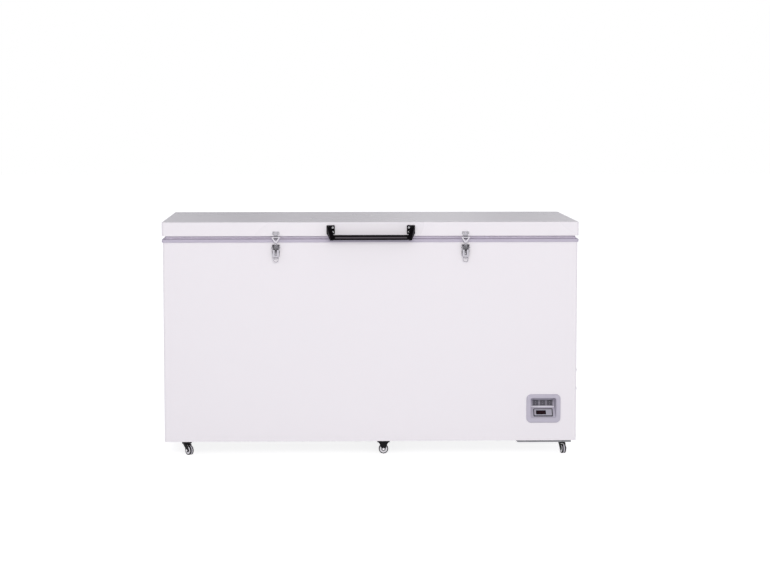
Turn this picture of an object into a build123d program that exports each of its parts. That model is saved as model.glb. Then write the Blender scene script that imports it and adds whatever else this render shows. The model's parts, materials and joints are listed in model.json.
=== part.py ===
from build123d import *
from math import atan2, cos, radians, sin, tan
import os

# A low-temperature laboratory chest freezer. Millimetres, +Z up, front towards -Y.
# The origin is the centre of the cabinet's footprint, on the floor.

# Cabinet
cabinet_length = 1650.0
cabinet_depth = 730.0
cabinet_height = 800.0
floor_gap = 60.0
skin_sheet = 1.0
skin_bend = 8.0
skin_return = 25.0
skin_flange = 22.0

# Tank and insulation
wall_thickness = 85.0
floor_thickness = 90.0
liner_sheet = 1.0
tank_corner = 20.0
step_length = 330.0
step_height = 310.0

# Collar, gasket and lid
collar_height = 12.0
collar_lip = 2.0
collar_lip_depth = 14.0
trim_overhang = 4.0
trim_corner = 10.0
trim_round = 2.0
gasket_height = 13.0
gasket_width = 32.0
gasket_inset = 10.0
gasket_base = 4.0
gasket_round = 3.0
lid_height = 55.0
lid_sheet = 1.0
lid_liner_sheet = 1.5
plug_gap = 12.0
plug_depth = 20.0
plug_corner = 30.0

# Lid hinges
hinge_spacing = 1080.0
hinge_setback = 18.0
hinge_plate = 3.0
hinge_width = 70.0
hinge_leaf_height = 110.0
hinge_pin_radius = 4.0
hinge_knuckle_radius = 8.0
hinge_cheek_gap = 0.5
hinge_leaf_drop = 2.0
hinge_cheek_foot = 25.0
hinge_cheek_brow = 30.0
hinge_cheek_shoulder = 10.0
hinge_ear_rise = 3.0
hinge_ear_foot = 6.0
hinge_ear_shoulder = 10.0
hinge_ear_below_top = 12.0

# Front handle
handle_length = 310.0
handle_bar_height = 20.0
handle_bar_depth = 17.0
handle_bar_round = 4.0
handle_reach = 24.0
handle_drop = 29.0
handle_socket = 8.0
bracket_plate_width = 16.0
bracket_plate_height = 36.0
bracket_plate_thickness = 5.0
bracket_arm_width = 17.0
bracket_lean = 12.0
bracket_below_top = 12.0
bracket_round = 3.0
bracket_plate_round = 4.0
bracket_plate_lap = 2.0
bracket_knee_height = 32.0
bracket_knee_out = 4.0
bracket_knee_drop = 7.0
bracket_thinning = 1.0
bracket_wrap = 3.0
bracket_foot_margin = 1.0
handle_screw_radius = 3.6
handle_screw_pitch = 18.0
screw_head_share = 0.6

# Draw latches
latch_spacing = 754.0
latch_width = 30.0
latch_height = 49.0
latch_below_collar = 9.0
latch_sheet = 1.5
latch_round = 4.0
latch_cheek_reach = 16.0
latch_cheek_height = 34.0
latch_cheek_slope = 10.0
latch_cheek_corner = 6.0
rivet_head = 1.2
rivet_end = 0.8
latch_pivot_below_top = 12.0
latch_pivot_out = 11.0
latch_pivot_radius = 2.0
lever_sheet = 1.5
lever_side_gap = 1.0
lever_length = 37.0
lever_slot = 9.0
lever_slot_depth = 30.0
lever_web_out = 4.5
lever_web_drop = 8.0
lever_eye = 5.0
lever_foot_depth = 3.0
lever_heel_out = 4.0
lever_heel_low = 5.0
lever_heel_high = 3.0
curl_width = 12.0
curl_neck = 6.0
claw_pivot_down = 16.0
claw_pivot_in = 4.0
claw_rod_radius = 2.0
claw_width = 33.0
claw_height = 23.0
claw_leg = 4.0
claw_thickness = 3.0
claw_clearance = 0.5
claw_below_lid = 3.0
claw_root = 3.0
claw_nut_radius = 4.0
claw_nut_height = 4.0
claw_nut_drop = 8.0
claw_barrel_radius = 3.6
claw_barrel_width = 10.0
keeper_width = 28.0
keeper_height = 13.0
keeper_sheet = 1.5
keeper_neck = 16.0
keeper_reach = 8.0
keeper_hook = 5.0
keeper_rise = 5.0
keeper_neck_drop = 9.0
keeper_bend = 1.6
keeper_round = 3.0
keeper_screw_radius = 3.0
keeper_screw_pitch = 16.0
ring_wire = 2.5
ring_width = 22.0
ring_height = 19.0
ring_bend = 6.0
ring_shoulder = 2.0
ring_foot_share = 0.9
ring_pivot_out = 2.2
ring_pivot_below = 2.6
ring_clearance = 0.08
pivot_clearance = 0.05

# Control panel, moulded housing recessed in the front
panel_from_right = 132.0
panel_above_bottom = 129.5
panel_width = 137.0
panel_height = 115.0
panel_corner = 19.0
panel_proud = 6.0
panel_round = 4.0
panel_wall = 3.0
panel_overlap = 5.0
recess_width = 103.0
recess_height = 81.0
recess_corner = 8.0
recess_depth = 34.0
recess_taper = 7.0
recess_rise = 2.0
ledge_above_recess = 38.0
ledge_depth = 6.0
slope_start = 1.0

# Rocker switches
switch_count = 3
switch_pitch = 28.0
switch_flange_width = 25.5
switch_flange_height = 23.0
switch_flange = 1.5
switch_body_depth = 16.0
switch_wall = 2.5
switch_snap = 1.5
switch_rim = 2.5
switch_above_ledge = 7.0
rocker_radius = 8.6
rocker_gap = 0.4
rocker_tilt = 14.0
rocker_proud = 1.2
rocker_pivot_depth = 3.5
rocker_back = 2.5
rocker_pin_radius = 1.5
rocker_pin_end = 0.6
rocker_pin_pocket = 0.8

# Temperature controller
controller_width = 77.0
controller_height = 35.0
controller_flange = 3.0
controller_case_depth = 40.0
controller_rim = 3.0
controller_corner = 3.0
controller_case_gap = 0.5
facia_seat = 1.0
facia_thickness = 1.5
window_thickness = 1.2
display_width = 40.0
display_height = 19.0
display_from_left = 10.0
key_size = 6.0
key_pitch = 8.0
key_rise = 0.6
key_corner = 1.0
keys_from_right = 13.5

# Castors and what carries them
castor_height = 50.0
castor_inset = 60.0
left_castor_from_end = 85.0
middle_castor_shift = 52.0
right_castor_from_end = 50.0
castor_plate_long = 50.0
castor_plate_short = 38.0
castor_plate_thickness = 2.5
castor_plate_hole = 2.6
castor_plate_hole_inset = 5.0
castor_plate_round = 4.0
wheel_radius = 19.0
wheel_width = 15.0
wheel_hub_radius = 6.0
wheel_rim_radius = 14.0
wheel_web = 8.0
axle_radius = 2.5
fork_sheet = 2.0
fork_gap = 18.0
fork_crown = 2.5
fork_crown_gap = 1.5
fork_foot_radius = 7.0
rigid_fork_waist = 17.0
rigid_fork_shoulder = 22.0
axle_end = 2.5
axle_nut_radius = 4.6
axle_nut_height = 2.0
castor_trail = 15.0
kingpin_radius = 4.0
kingpin_head_radius = 6.0
kingpin_head_height = 2.0
race_radius = 15.0
race_lip = 1.0
rail_sheet = 1.5
rail_round = 4.0
rail_end_gap = 40.0
left_front_heading = -50.0
right_front_heading = -78.0
left_rear_heading = 25.0
right_rear_heading = 150.0

# Machine room
pan_length = 226.0
pan_from_right = 18.0
pan_inset = 15.0
pan_sheet = 1.5
pan_slope = 10.0
grille_length = 220.0
grille_height = 106.0
grille_from_front = 34.0
grille_centre_height = 306.5
grille_frame = 2.5
grille_border = 7.5
grille_overlap = 5.0
grille_round = 5.0
grille_hood = 20.0
grille_hood_pitch = 75.0
grille_hood_proud = 6.0
grille_hood_lip = 3.0
grille_hood_end = 1.0
slat_count = 5
slat_height = 4.0
rear_grille_length = 250.0
rear_grille_height = 190.0
rear_grille_shift = 10.0
rear_grille_rise = 40.0
compressor_radius = 72.0
compressor_height = 165.0
compressor_crown = 40.0
compressor_foot = 16.0
compressor_plate_length = 200.0
compressor_plate_width = 120.0
compressor_plate = 3.0
compressor_plate_round = 12.0
compressor_seam = 2.0
compressor_seam_height = 6.0
compressor_from_pan = 118.0
compressor_from_back = 190.0
terminal_width = 64.0
terminal_height = 40.0
terminal_rise = 35.0
terminal_proud = 28.0
terminal_lap = 12.0
grommet_radius = 11.0
grommet_height = 14.0
grommet_inset = 15.0
grommet_taper = 8.0
condenser_thickness = 44.0
condenser_height = 210.0
condenser_length = 200.0
condenser_fin_pitch = 15.0
condenser_fin = 1.2
condenser_tube_radius = 4.0
condenser_rows = 4
condenser_from_front = 120.0
condenser_from_slope = 4.0
shroud_depth = 22.0
shroud_sheet = 1.5
crossbar_width = 18.0
crossbar_sheet = 2.0
crossbar_end_gap = 4.0
fan_radius = 80.0
fan_running_gap = 5.0
fan_hub_radius = 20.0
fan_hub_length = 16.0
fan_hub_setback = 3.0
blade_count = 5
blade_root = 26.0
blade_root_thickness = 2.0
blade_root_pitch = 24.0
blade_root_lap = 4.0
blade_tip = 44.0
blade_tip_thickness = 1.5
blade_tip_pitch = 14.0
blade_tip_setback = 1.0
fan_shaft_radius = 3.0
fan_motor_radius = 26.0
fan_motor_length = 38.0
drier_radius = 11.0
drier_length = 90.0
drier_cone = 6.0
drier_above_bottom = 120.0
line_radius = 4.0
line_bend = 14.0
line_stub = 20.0
line_shift = 20.0
line_run = 60.0
line_above_base = 110.0
line_below_roof = 40.0
inlet_width = 30.0
inlet_height = 24.0
inlet_flange = 4.0
inlet_flange_sheet = 3.0
inlet_round = 4.0
inlet_wall = 2.0
inlet_depth = 25.0
inlet_cavity = 20.0
inlet_from_wall = 60.0
inlet_above_bottom = 75.0
contact_width = 2.0
contact_height = 6.0
contact_length = 14.0
contact_pitch = 7.0
contact_drop = 2.0
earth_contact_rise = 3.0

# Small fits between pieces, and how far a cut runs past what it cuts
running_gap = 0.3
cut_margin = 8.0

# Derived levels and planes
half_length = cabinet_length / 2
half_depth = cabinet_depth / 2
cabinet_front = -half_depth
cabinet_top = floor_gap + cabinet_height
collar_top = cabinet_top + collar_height
lid_bottom = collar_top + gasket_height
lid_top = lid_bottom + lid_height
lid_front = cabinet_front - trim_overhang
trim_length = cabinet_length + 2 * trim_overhang
trim_depth = cabinet_depth + 2 * trim_overhang
tank_half_length = half_length - wall_thickness
tank_half_width = half_depth - wall_thickness
tank_floor = floor_gap + floor_thickness
step_floor = tank_floor + step_height
step_x = tank_half_length - step_length
room_left = step_x + wall_thickness
room_right = half_length - skin_sheet
room_top = step_floor - wall_thickness
room_front = cabinet_front + skin_sheet
hinge_y = half_depth + trim_overhang + hinge_setback
hinge_z = collar_top + gasket_base
panel_x = half_length - panel_from_right
panel_z = floor_gap + panel_above_bottom
castor_y = half_depth - castor_inset
castor_positions = (
    left_castor_from_end - half_length,
    middle_castor_shift,
    half_length - right_castor_from_end,
)
rail_height = floor_gap + skin_sheet - castor_height


def save(piece, name):
    """Labels a finished piece and writes it to its own file."""
    piece.part.label = name
    export_step(piece.part, f"parts/{name}.step")


def side_plane(x):
    """A plane facing +X at x, drawn with Y to the right and Z up."""
    return Plane(origin=(x, 0, 0), x_dir=(0, 1, 0), z_dir=(1, 0, 0))


def front_plane(y):
    """A plane facing the front at y, drawn with X to the right and Z up."""
    return Plane(origin=(0, y, 0), x_dir=(1, 0, 0), z_dir=(0, -1, 0))


def slab(low, high, mode=Mode.ADD):
    """A block between two opposite corners, for use inside a part."""
    size = [b - a for a, b in zip(low, high)]
    middle = tuple((a + b) / 2 for a, b in zip(low, high))
    with Locations(middle):
        Box(*size, mode=mode)


# Cabinet


def skin_piece(centre, size):
    """The part of the wrapped outer skin inside one rectangle, with its inturned bottom flange."""
    inner_length = cabinet_length - 2 * skin_sheet
    inner_depth = cabinet_depth - 2 * skin_sheet
    inner_bend = skin_bend - skin_sheet
    with BuildPart() as piece:
        with BuildSketch(Plane.XY.offset(floor_gap)):
            RectangleRounded(cabinet_length, cabinet_depth, skin_bend)
            RectangleRounded(inner_length, inner_depth, inner_bend, mode=Mode.SUBTRACT)
            with Locations(centre):
                Rectangle(*size, mode=Mode.INTERSECT)
        extrude(amount=cabinet_height)
        with BuildSketch(Plane.XY.offset(floor_gap)):
            RectangleRounded(cabinet_length - skin_sheet, cabinet_depth - skin_sheet, inner_bend)
            Rectangle(cabinet_length - 2 * skin_flange, cabinet_depth - 2 * skin_flange, mode=Mode.SUBTRACT)
            with Locations(centre):
                Rectangle(*size, mode=Mode.INTERSECT)
        extrude(amount=skin_sheet)
    return piece


def long_skin(side):
    """Front (side -1) or back (side 1) of the skin, returned round both corners."""
    band = skin_bend + skin_return
    return skin_piece((0, side * (half_depth - band / 2)), (cabinet_length, band))


def end_skin(side):
    """Left (side -1) or right (side 1) end of the skin, between the returns."""
    band = cabinet_depth - 2 * (skin_bend + skin_return)
    width = skin_flange + skin_sheet
    return skin_piece((side * (half_length - width / 2), 0), (width, band))


def make_front_panel():
    blank = long_skin(-1)
    with BuildPart() as front_panel:
        add(blank.part)
        with BuildSketch(front_plane(cabinet_front)):
            with Locations((panel_x, panel_z)):
                RectangleRounded(
                    panel_width - 2 * panel_overlap,
                    panel_height - 2 * panel_overlap,
                    panel_corner - panel_overlap,
                )
        extrude(amount=-2 * skin_sheet, mode=Mode.SUBTRACT)
    return front_panel


def make_back_panel():
    blank = long_skin(1)
    with BuildPart() as back_panel:
        add(blank.part)
        with BuildSketch(front_plane(half_depth)):
            with Locations((rear_grille_x(), rear_grille_z())):
                Rectangle(rear_grille_length - 2 * grille_overlap, rear_grille_height - 2 * grille_overlap)
            with Locations((inlet_x(), inlet_z())):
                Rectangle(inlet_width, inlet_height)
        extrude(amount=2 * skin_sheet, both=True, mode=Mode.SUBTRACT)
    return back_panel


def make_right_panel():
    blank = end_skin(1)
    with BuildPart() as right_panel:
        add(blank.part)
        with BuildSketch(side_plane(half_length)):
            with Locations((side_grille_y(), grille_centre_height)):
                Rectangle(grille_length - 2 * grille_overlap, grille_height - 2 * grille_overlap)
        extrude(amount=-2 * skin_sheet, mode=Mode.SUBTRACT)
    return right_panel


def make_bottom_plate():
    left = -half_length + skin_sheet
    right = pan_left() + pan_sheet
    with BuildPart() as bottom_plate:
        with BuildSketch(Plane.XY.offset(floor_gap + skin_sheet)):
            RectangleRounded(
                cabinet_length - 2 * skin_sheet,
                cabinet_depth - 2 * skin_sheet,
                skin_bend - skin_sheet,
            )
            with Locations(((left + right) / 2, 0)):
                Rectangle(right - left, cabinet_depth, mode=Mode.INTERSECT)
        extrude(amount=skin_sheet)
    return bottom_plate


def tank_volume(growth):
    """The stepped space inside the tank, grown outwards on every side but the top."""
    left = -tank_half_length - growth
    right = tank_half_length + growth
    floor = tank_floor - growth
    step = step_floor - growth
    riser = step_x + growth
    radius = tank_corner + growth
    with BuildPart() as volume:
        with BuildSketch(front_plane(0)):
            with BuildLine():
                Polyline(
                    (left, cabinet_top),
                    (left, floor),
                    (riser, floor),
                    (riser, step),
                    (right, step),
                    (right, cabinet_top),
                    close=True,
                )
            make_face()
        extrude(amount=tank_half_width + growth, both=True)
        ends = volume.edges().filter_by(Axis.Z).filter_by(lambda e: abs(e.center().X - riser) > radius)
        fillet(ends, radius)
    return volume.part


def foam_block():
    """The outside of the insulation, inside the skin and above the bottom plate."""
    bottom = floor_gap + 2 * skin_sheet
    with BuildPart() as block:
        with BuildSketch(Plane.XY.offset(bottom)):
            RectangleRounded(
                cabinet_length - 2 * skin_sheet,
                cabinet_depth - 2 * skin_sheet,
                skin_bend - skin_sheet,
            )
        extrude(amount=cabinet_top - bottom)
    return block.part


def make_foam_insulation():
    tank = tank_volume(liner_sheet)
    with BuildPart() as foam_insulation:
        add(foam_block())
        add(tank, mode=Mode.SUBTRACT)
        slab((room_left, -half_depth, 0), (half_length, half_depth, room_top), mode=Mode.SUBTRACT)
    return foam_insulation


def make_inner_liner():
    outside = tank_volume(liner_sheet)
    inside = tank_volume(0)
    with BuildPart() as inner_liner:
        add(outside)
        add(inside, mode=Mode.SUBTRACT)
    return inner_liner


def make_top_collar():
    tank_length = 2 * tank_half_length
    tank_width = 2 * tank_half_width
    with BuildPart() as top_collar:
        with BuildSketch(Plane.XY.offset(cabinet_top)):
            RectangleRounded(trim_length, trim_depth, trim_corner)
        extrude(amount=collar_height)
        rim = top_collar.edges().group_by(Axis.Z)[-1]
        fillet(rim, trim_round)
        with BuildSketch(Plane.XY.offset(cabinet_top - collar_lip_depth)):
            RectangleRounded(tank_length, tank_width, tank_corner)
        extrude(amount=collar_lip_depth)
        with BuildSketch(Plane.XY.offset(cabinet_top - collar_lip_depth)):
            RectangleRounded(
                tank_length - 2 * collar_lip,
                tank_width - 2 * collar_lip,
                tank_corner - collar_lip,
            )
        extrude(amount=collar_lip_depth + collar_height, mode=Mode.SUBTRACT)
    return top_collar


# Lid


def lid_block(inset, bottom, top):
    """The lid's rounded slab, inset from its outer face on the sides and the top."""
    with BuildPart() as block:
        with BuildSketch(Plane.XY.offset(bottom)):
            RectangleRounded(trim_length - 2 * inset, trim_depth - 2 * inset, trim_corner - inset)
        extrude(amount=top - inset - bottom)
        if trim_round > inset:
            fillet(block.edges().group_by(Axis.Z)[-1], trim_round - inset)
    return block.part


def plug_sketch(inset):
    """Outline of the raised middle of the lid's lining, which drops into the tank."""
    RectangleRounded(
        2 * (tank_half_length - plug_gap - inset),
        2 * (tank_half_width - plug_gap - inset),
        plug_corner - inset,
    )


def make_lid_shell():
    outer = lid_block(0, lid_bottom, lid_top)
    inner = lid_block(lid_sheet, lid_bottom, lid_top)
    with BuildPart() as lid_shell:
        add(outer)
        add(inner, mode=Mode.SUBTRACT)
    return lid_shell


def make_lid_foam():
    core = lid_block(lid_sheet, lid_bottom + lid_liner_sheet, lid_top)
    with BuildPart() as lid_foam:
        add(core)
        with BuildSketch(Plane.XY.offset(lid_bottom - plug_depth + lid_liner_sheet)):
            plug_sketch(lid_liner_sheet)
        extrude(amount=plug_depth)
    return lid_foam


def make_lid_liner():
    with BuildPart() as lid_liner:
        with BuildSketch(Plane.XY.offset(lid_bottom)):
            RectangleRounded(
                trim_length - 2 * lid_sheet,
                trim_depth - 2 * lid_sheet,
                trim_corner - lid_sheet,
            )
        extrude(amount=lid_liner_sheet)
        with BuildSketch(Plane.XY.offset(lid_bottom - plug_depth)):
            plug_sketch(0)
        extrude(amount=plug_depth)
        with BuildSketch(Plane.XY.offset(lid_bottom - plug_depth + lid_liner_sheet)):
            plug_sketch(lid_liner_sheet)
        extrude(amount=plug_depth, mode=Mode.SUBTRACT)
    return lid_liner


def gasket_ring(inset, width):
    """Outline of one layer of the lid seal."""
    RectangleRounded(trim_length - 2 * inset, trim_depth - 2 * inset, trim_corner)
    RectangleRounded(
        trim_length - 2 * (inset + width),
        trim_depth - 2 * (inset + width),
        trim_corner,
        mode=Mode.SUBTRACT,
    )


def make_lid_gasket():
    bulb_height = gasket_height - gasket_base
    with BuildPart() as lid_gasket:
        with BuildSketch(Plane.XY.offset(collar_top)):
            gasket_ring(gasket_inset, gasket_width)
        extrude(amount=bulb_height)
        bulb = lid_gasket.edges().group_by(Axis.Z)
        chamfer(bulb[0] + bulb[-1], gasket_round)
        with BuildSketch(Plane.XY.offset(collar_top + bulb_height)):
            gasket_ring(gasket_inset + gasket_round, gasket_width - 2 * gasket_round)
        extrude(amount=gasket_base)
    return lid_gasket


# Lid hinges


def make_hinge_cabinet_leaves():
    """Back leaves: a plate under the collar with two cheeks that carry the pin."""
    leaf_top = cabinet_top - hinge_leaf_drop
    leaf_foot = leaf_top - hinge_leaf_height
    cheek_out = hinge_width / 2
    back = half_depth
    with BuildPart() as leaves:
        for side in (-1, 1):
            x = side * hinge_spacing / 2
            slab(
                (x - cheek_out, back, leaf_foot),
                (x + cheek_out, back + hinge_plate, leaf_top),
            )
            for cheek in (-1, 1):
                face_x = x + cheek * cheek_out - (hinge_plate if cheek > 0 else 0)
                with BuildSketch(side_plane(face_x)):
                    with BuildLine():
                        Polyline(
                            (back + hinge_plate, leaf_foot + hinge_cheek_foot),
                            (hinge_y + hinge_knuckle_radius, leaf_top - hinge_cheek_brow),
                            (hinge_y + hinge_knuckle_radius, hinge_z),
                            (hinge_y - hinge_knuckle_radius, hinge_z),
                            (back + hinge_plate, leaf_top - hinge_cheek_shoulder),
                            close=True,
                        )
                    make_face()
                    with Locations((hinge_y, hinge_z)):
                        Circle(hinge_knuckle_radius)
                        Circle(hinge_pin_radius, mode=Mode.SUBTRACT)
                extrude(amount=hinge_plate)
    return leaves


def make_hinge_lid_leaves():
    """Lid leaves: a plate on the back skirt and two ears between the cabinet leaf's cheeks."""
    skirt = half_depth + trim_overhang
    ear_out = hinge_width / 2 - hinge_plate - hinge_cheek_gap
    top = lid_top - hinge_ear_below_top
    low = lid_bottom + hinge_ear_rise
    bore = hinge_pin_radius + pivot_clearance
    with BuildPart() as leaves:
        for side in (-1, 1):
            x = side * hinge_spacing / 2
            slab((x - ear_out, skirt, low), (x + ear_out, skirt + hinge_plate, top))
            for ear in (-1, 1):
                face_x = x + ear * ear_out - (hinge_plate if ear > 0 else 0)
                with BuildSketch(side_plane(face_x)):
                    with BuildLine():
                        Polyline(
                            (skirt + hinge_plate, top - hinge_ear_shoulder),
                            (hinge_y + hinge_knuckle_radius, lid_bottom + hinge_ear_foot),
                            (hinge_y + hinge_knuckle_radius, hinge_z),
                            (hinge_y - hinge_knuckle_radius, hinge_z),
                            (skirt + hinge_plate, low),
                            close=True,
                        )
                    make_face()
                    with Locations((hinge_y, hinge_z)):
                        Circle(hinge_knuckle_radius)
                        Circle(bore, mode=Mode.SUBTRACT)
                extrude(amount=hinge_plate)
    return leaves


def make_hinge_pins():
    with BuildPart() as hinge_pins:
        for side in (-1, 1):
            start = side * hinge_spacing / 2 - hinge_width / 2
            with BuildSketch(side_plane(start)):
                with Locations((hinge_y, hinge_z)):
                    Circle(hinge_pin_radius)
            extrude(amount=hinge_width)
    return hinge_pins


# Handle


def bracket_plate_x():
    """Middle of a bracket's screwed plate, which lies inboard of its arm."""
    return handle_length / 2 - handle_socket + bracket_lean - bracket_plate_width / 2


def bracket_plate_z():
    return lid_top - bracket_below_top - bracket_plate_height / 2


def bar_centre():
    """Height and depth of the middle of the handle's bar."""
    return bracket_plate_z() - handle_drop, lid_front - handle_reach - handle_bar_depth / 2


def bar_block():
    z, y = bar_centre()
    with BuildPart() as block:
        with BuildSketch(side_plane(-handle_length / 2)):
            with Locations((y, z)):
                RectangleRounded(handle_bar_depth, handle_bar_height, handle_bar_round)
        extrude(amount=handle_length)
    return block.part


def make_handle_bar():
    blank = bar_block()
    with BuildPart() as handle_bar:
        add(blank)
    return handle_bar


def bracket(side):
    """One moulded bracket: a screwed plate and an arm that sweeps out and down to the bar."""
    bar_z, bar_y = bar_centre()
    plate_x = bracket_plate_x()
    plate_z = bracket_plate_z()
    foot_x = handle_length / 2 - handle_socket + bracket_arm_width / 2
    arm_x = foot_x + bracket_lean
    knee_x = arm_x - bracket_lean / 3
    knee_y = (lid_front + bar_y) / 2 - bracket_knee_out
    front_y = bar_y - handle_bar_depth / 2 - bracket_wrap
    with BuildPart() as arm:
        with BuildSketch(front_plane(lid_front)):
            with Locations((side * arm_x, plate_z)):
                RectangleRounded(bracket_arm_width, bracket_plate_height, bracket_round)
        with BuildSketch(front_plane(knee_y)):
            with Locations((side * knee_x, plate_z - bracket_knee_drop)):
                RectangleRounded(bracket_arm_width - bracket_thinning, bracket_knee_height, bracket_round)
        with BuildSketch(front_plane(front_y)):
            with Locations((side * foot_x, bar_z)):
                RectangleRounded(
                    bracket_arm_width - 2 * bracket_thinning,
                    handle_bar_height + 2 * bracket_foot_margin,
                    bracket_round,
                )
        loft()
        with BuildSketch(front_plane(lid_front)):
            with Locations((side * (plate_x + bracket_plate_lap / 2), plate_z)):
                RectangleRounded(
                    bracket_plate_width + bracket_plate_lap,
                    bracket_plate_height,
                    bracket_plate_round,
                )
        extrude(amount=bracket_plate_thickness)
    return arm.part


def make_handle_brackets():
    bar = bar_block()
    arms = [bracket(-1), bracket(1)]
    with BuildPart() as handle_brackets:
        add(arms)
        add(bar, mode=Mode.SUBTRACT)
    return handle_brackets


def screw_head(x, z, seat, radius):
    """A round screw head on a face that looks to -Y, for use inside a part."""
    with Locations((x, seat, z)):
        Cylinder(
            radius,
            radius * screw_head_share,
            rotation=(90, 0, 0),
            align=(Align.CENTER, Align.CENTER, Align.MIN),
        )


def make_lid_screws():
    """Screws of the handle brackets and of the keepers."""
    plate_face = lid_front - bracket_plate_thickness
    with BuildPart() as lid_screws:
        for side in (-1, 1):
            for level in (-1, 1):
                z = bracket_plate_z() + level * handle_screw_pitch / 2
                screw_head(side * bracket_plate_x(), z, plate_face, handle_screw_radius)
            for hand in (-1, 1):
                x = side * latch_spacing / 2 + hand * keeper_screw_pitch / 2
                screw_head(x, keeper_z(), lid_front - keeper_sheet, keeper_screw_radius)
    return lid_screws


# Draw latches


def keeper_z():
    """Height of the middle of a keeper's screwed plate."""
    return lid_bottom + keeper_rise + keeper_height / 2


def latch_top():
    return cabinet_top - latch_below_collar


def lever_pivot():
    """Pivot of the lever on the base, as (y, z)."""
    return cabinet_front - latch_pivot_out, latch_top() - latch_pivot_below_top


def claw_pivot():
    """Pivot of the claw on the lever, as (y, z)."""
    y, z = lever_pivot()
    return y + claw_pivot_in, z - claw_pivot_down


def keeper_front():
    return lid_front - keeper_reach


def claw_reach():
    """Length of the claw from its pivot to its top edge, along its own lean."""
    return (lid_bottom - claw_below_lid - claw_pivot()[1]) / cos(claw_lean())


def claw_lean():
    """The claw stands a little forward, so that it clears the keeper's hook."""
    y, z = claw_pivot()
    bar_z = lid_bottom - claw_below_lid - claw_leg
    bar_y = keeper_front() - claw_clearance - claw_thickness / 2
    return atan2(y - bar_y, bar_z - z)


def make_keepers():
    """Hooks on the lid: a screwed plate, a neck and a lip turned up for the claw."""
    neck_bottom = lid_bottom - keeper_neck_drop
    with BuildPart() as keepers:
        for side in (-1, 1):
            x = side * latch_spacing / 2
            with BuildSketch(front_plane(lid_front)):
                with Locations((x, keeper_z())):
                    RectangleRounded(keeper_width, keeper_height, keeper_round)
            extrude(amount=keeper_sheet)
            with BuildSketch(side_plane(x - keeper_neck / 2)):
                with BuildLine():
                    FilletPolyline(
                        (lid_front - keeper_sheet / 2, keeper_z()),
                        (lid_front - keeper_sheet / 2, neck_bottom),
                        (keeper_front() + keeper_sheet / 2, neck_bottom),
                        (keeper_front() + keeper_sheet / 2, neck_bottom + keeper_hook),
                        radius=keeper_bend,
                    )
                trace(line_width=keeper_sheet)
            extrude(amount=keeper_neck)
    return keepers


def make_latch_bases():
    """Base plates with two cheeks each and the short rivets that carry the lever."""
    pivot_y, pivot_z = lever_pivot()
    top = latch_top()
    cheek_out = latch_width / 2
    cheek_low = top - latch_cheek_height
    cheek_front = cabinet_front - latch_cheek_reach
    rivet_low = cheek_out - latch_sheet - lever_side_gap - lever_sheet - rivet_end
    rivet_high = cheek_out + rivet_head
    with BuildPart() as latch_bases:
        for side in (-1, 1):
            x = side * latch_spacing / 2
            with BuildSketch(front_plane(cabinet_front)):
                with Locations((x, top - latch_height / 2)):
                    RectangleRounded(latch_width, latch_height, latch_round)
            extrude(amount=latch_sheet)
            for cheek in (-1, 1):
                face_x = x + cheek * cheek_out - (latch_sheet if cheek > 0 else 0)
                with BuildSketch(side_plane(face_x)):
                    with BuildLine():
                        Polyline(
                            (cabinet_front, cheek_low),
                            (cheek_front, cheek_low + latch_cheek_slope),
                            (cheek_front, top - latch_cheek_corner),
                            (cheek_front + latch_cheek_corner, top),
                            (cabinet_front, top),
                            close=True,
                        )
                    make_face()
                extrude(amount=latch_sheet)
                start = x + (rivet_low if cheek > 0 else -rivet_high)
                with BuildSketch(side_plane(start)):
                    with Locations((pivot_y, pivot_z)):
                        Circle(latch_pivot_radius)
                extrude(amount=rivet_high - rivet_low)
    return latch_bases


def lever_side_profile():
    """Side of the lever in the current sketch: round about its pivot, running down to the ring."""
    pivot_y, pivot_z = lever_pivot()
    claw_y, claw_z = claw_pivot()
    web = pivot_y - lever_web_out
    foot = pivot_z - lever_length
    Polygon(
        (pivot_y + lever_eye, pivot_z),
        (pivot_y, pivot_z + lever_eye),
        (web, pivot_z),
        (web, foot),
        (web + lever_foot_depth, foot),
        (claw_y + lever_heel_out, claw_z - lever_heel_low),
        (claw_y + lever_heel_out, claw_z + lever_heel_high),
        align=None,
    )
    with Locations((pivot_y, pivot_z)):
        Circle(lever_eye)
        Circle(latch_pivot_radius + pivot_clearance, mode=Mode.SUBTRACT)


def ring_pivot():
    """Pivot of the pull ring in the lever's curled foot, as (y, z)."""
    pivot_y, pivot_z = lever_pivot()
    return pivot_y - ring_pivot_out, pivot_z - lever_length - ring_pivot_below


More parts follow.
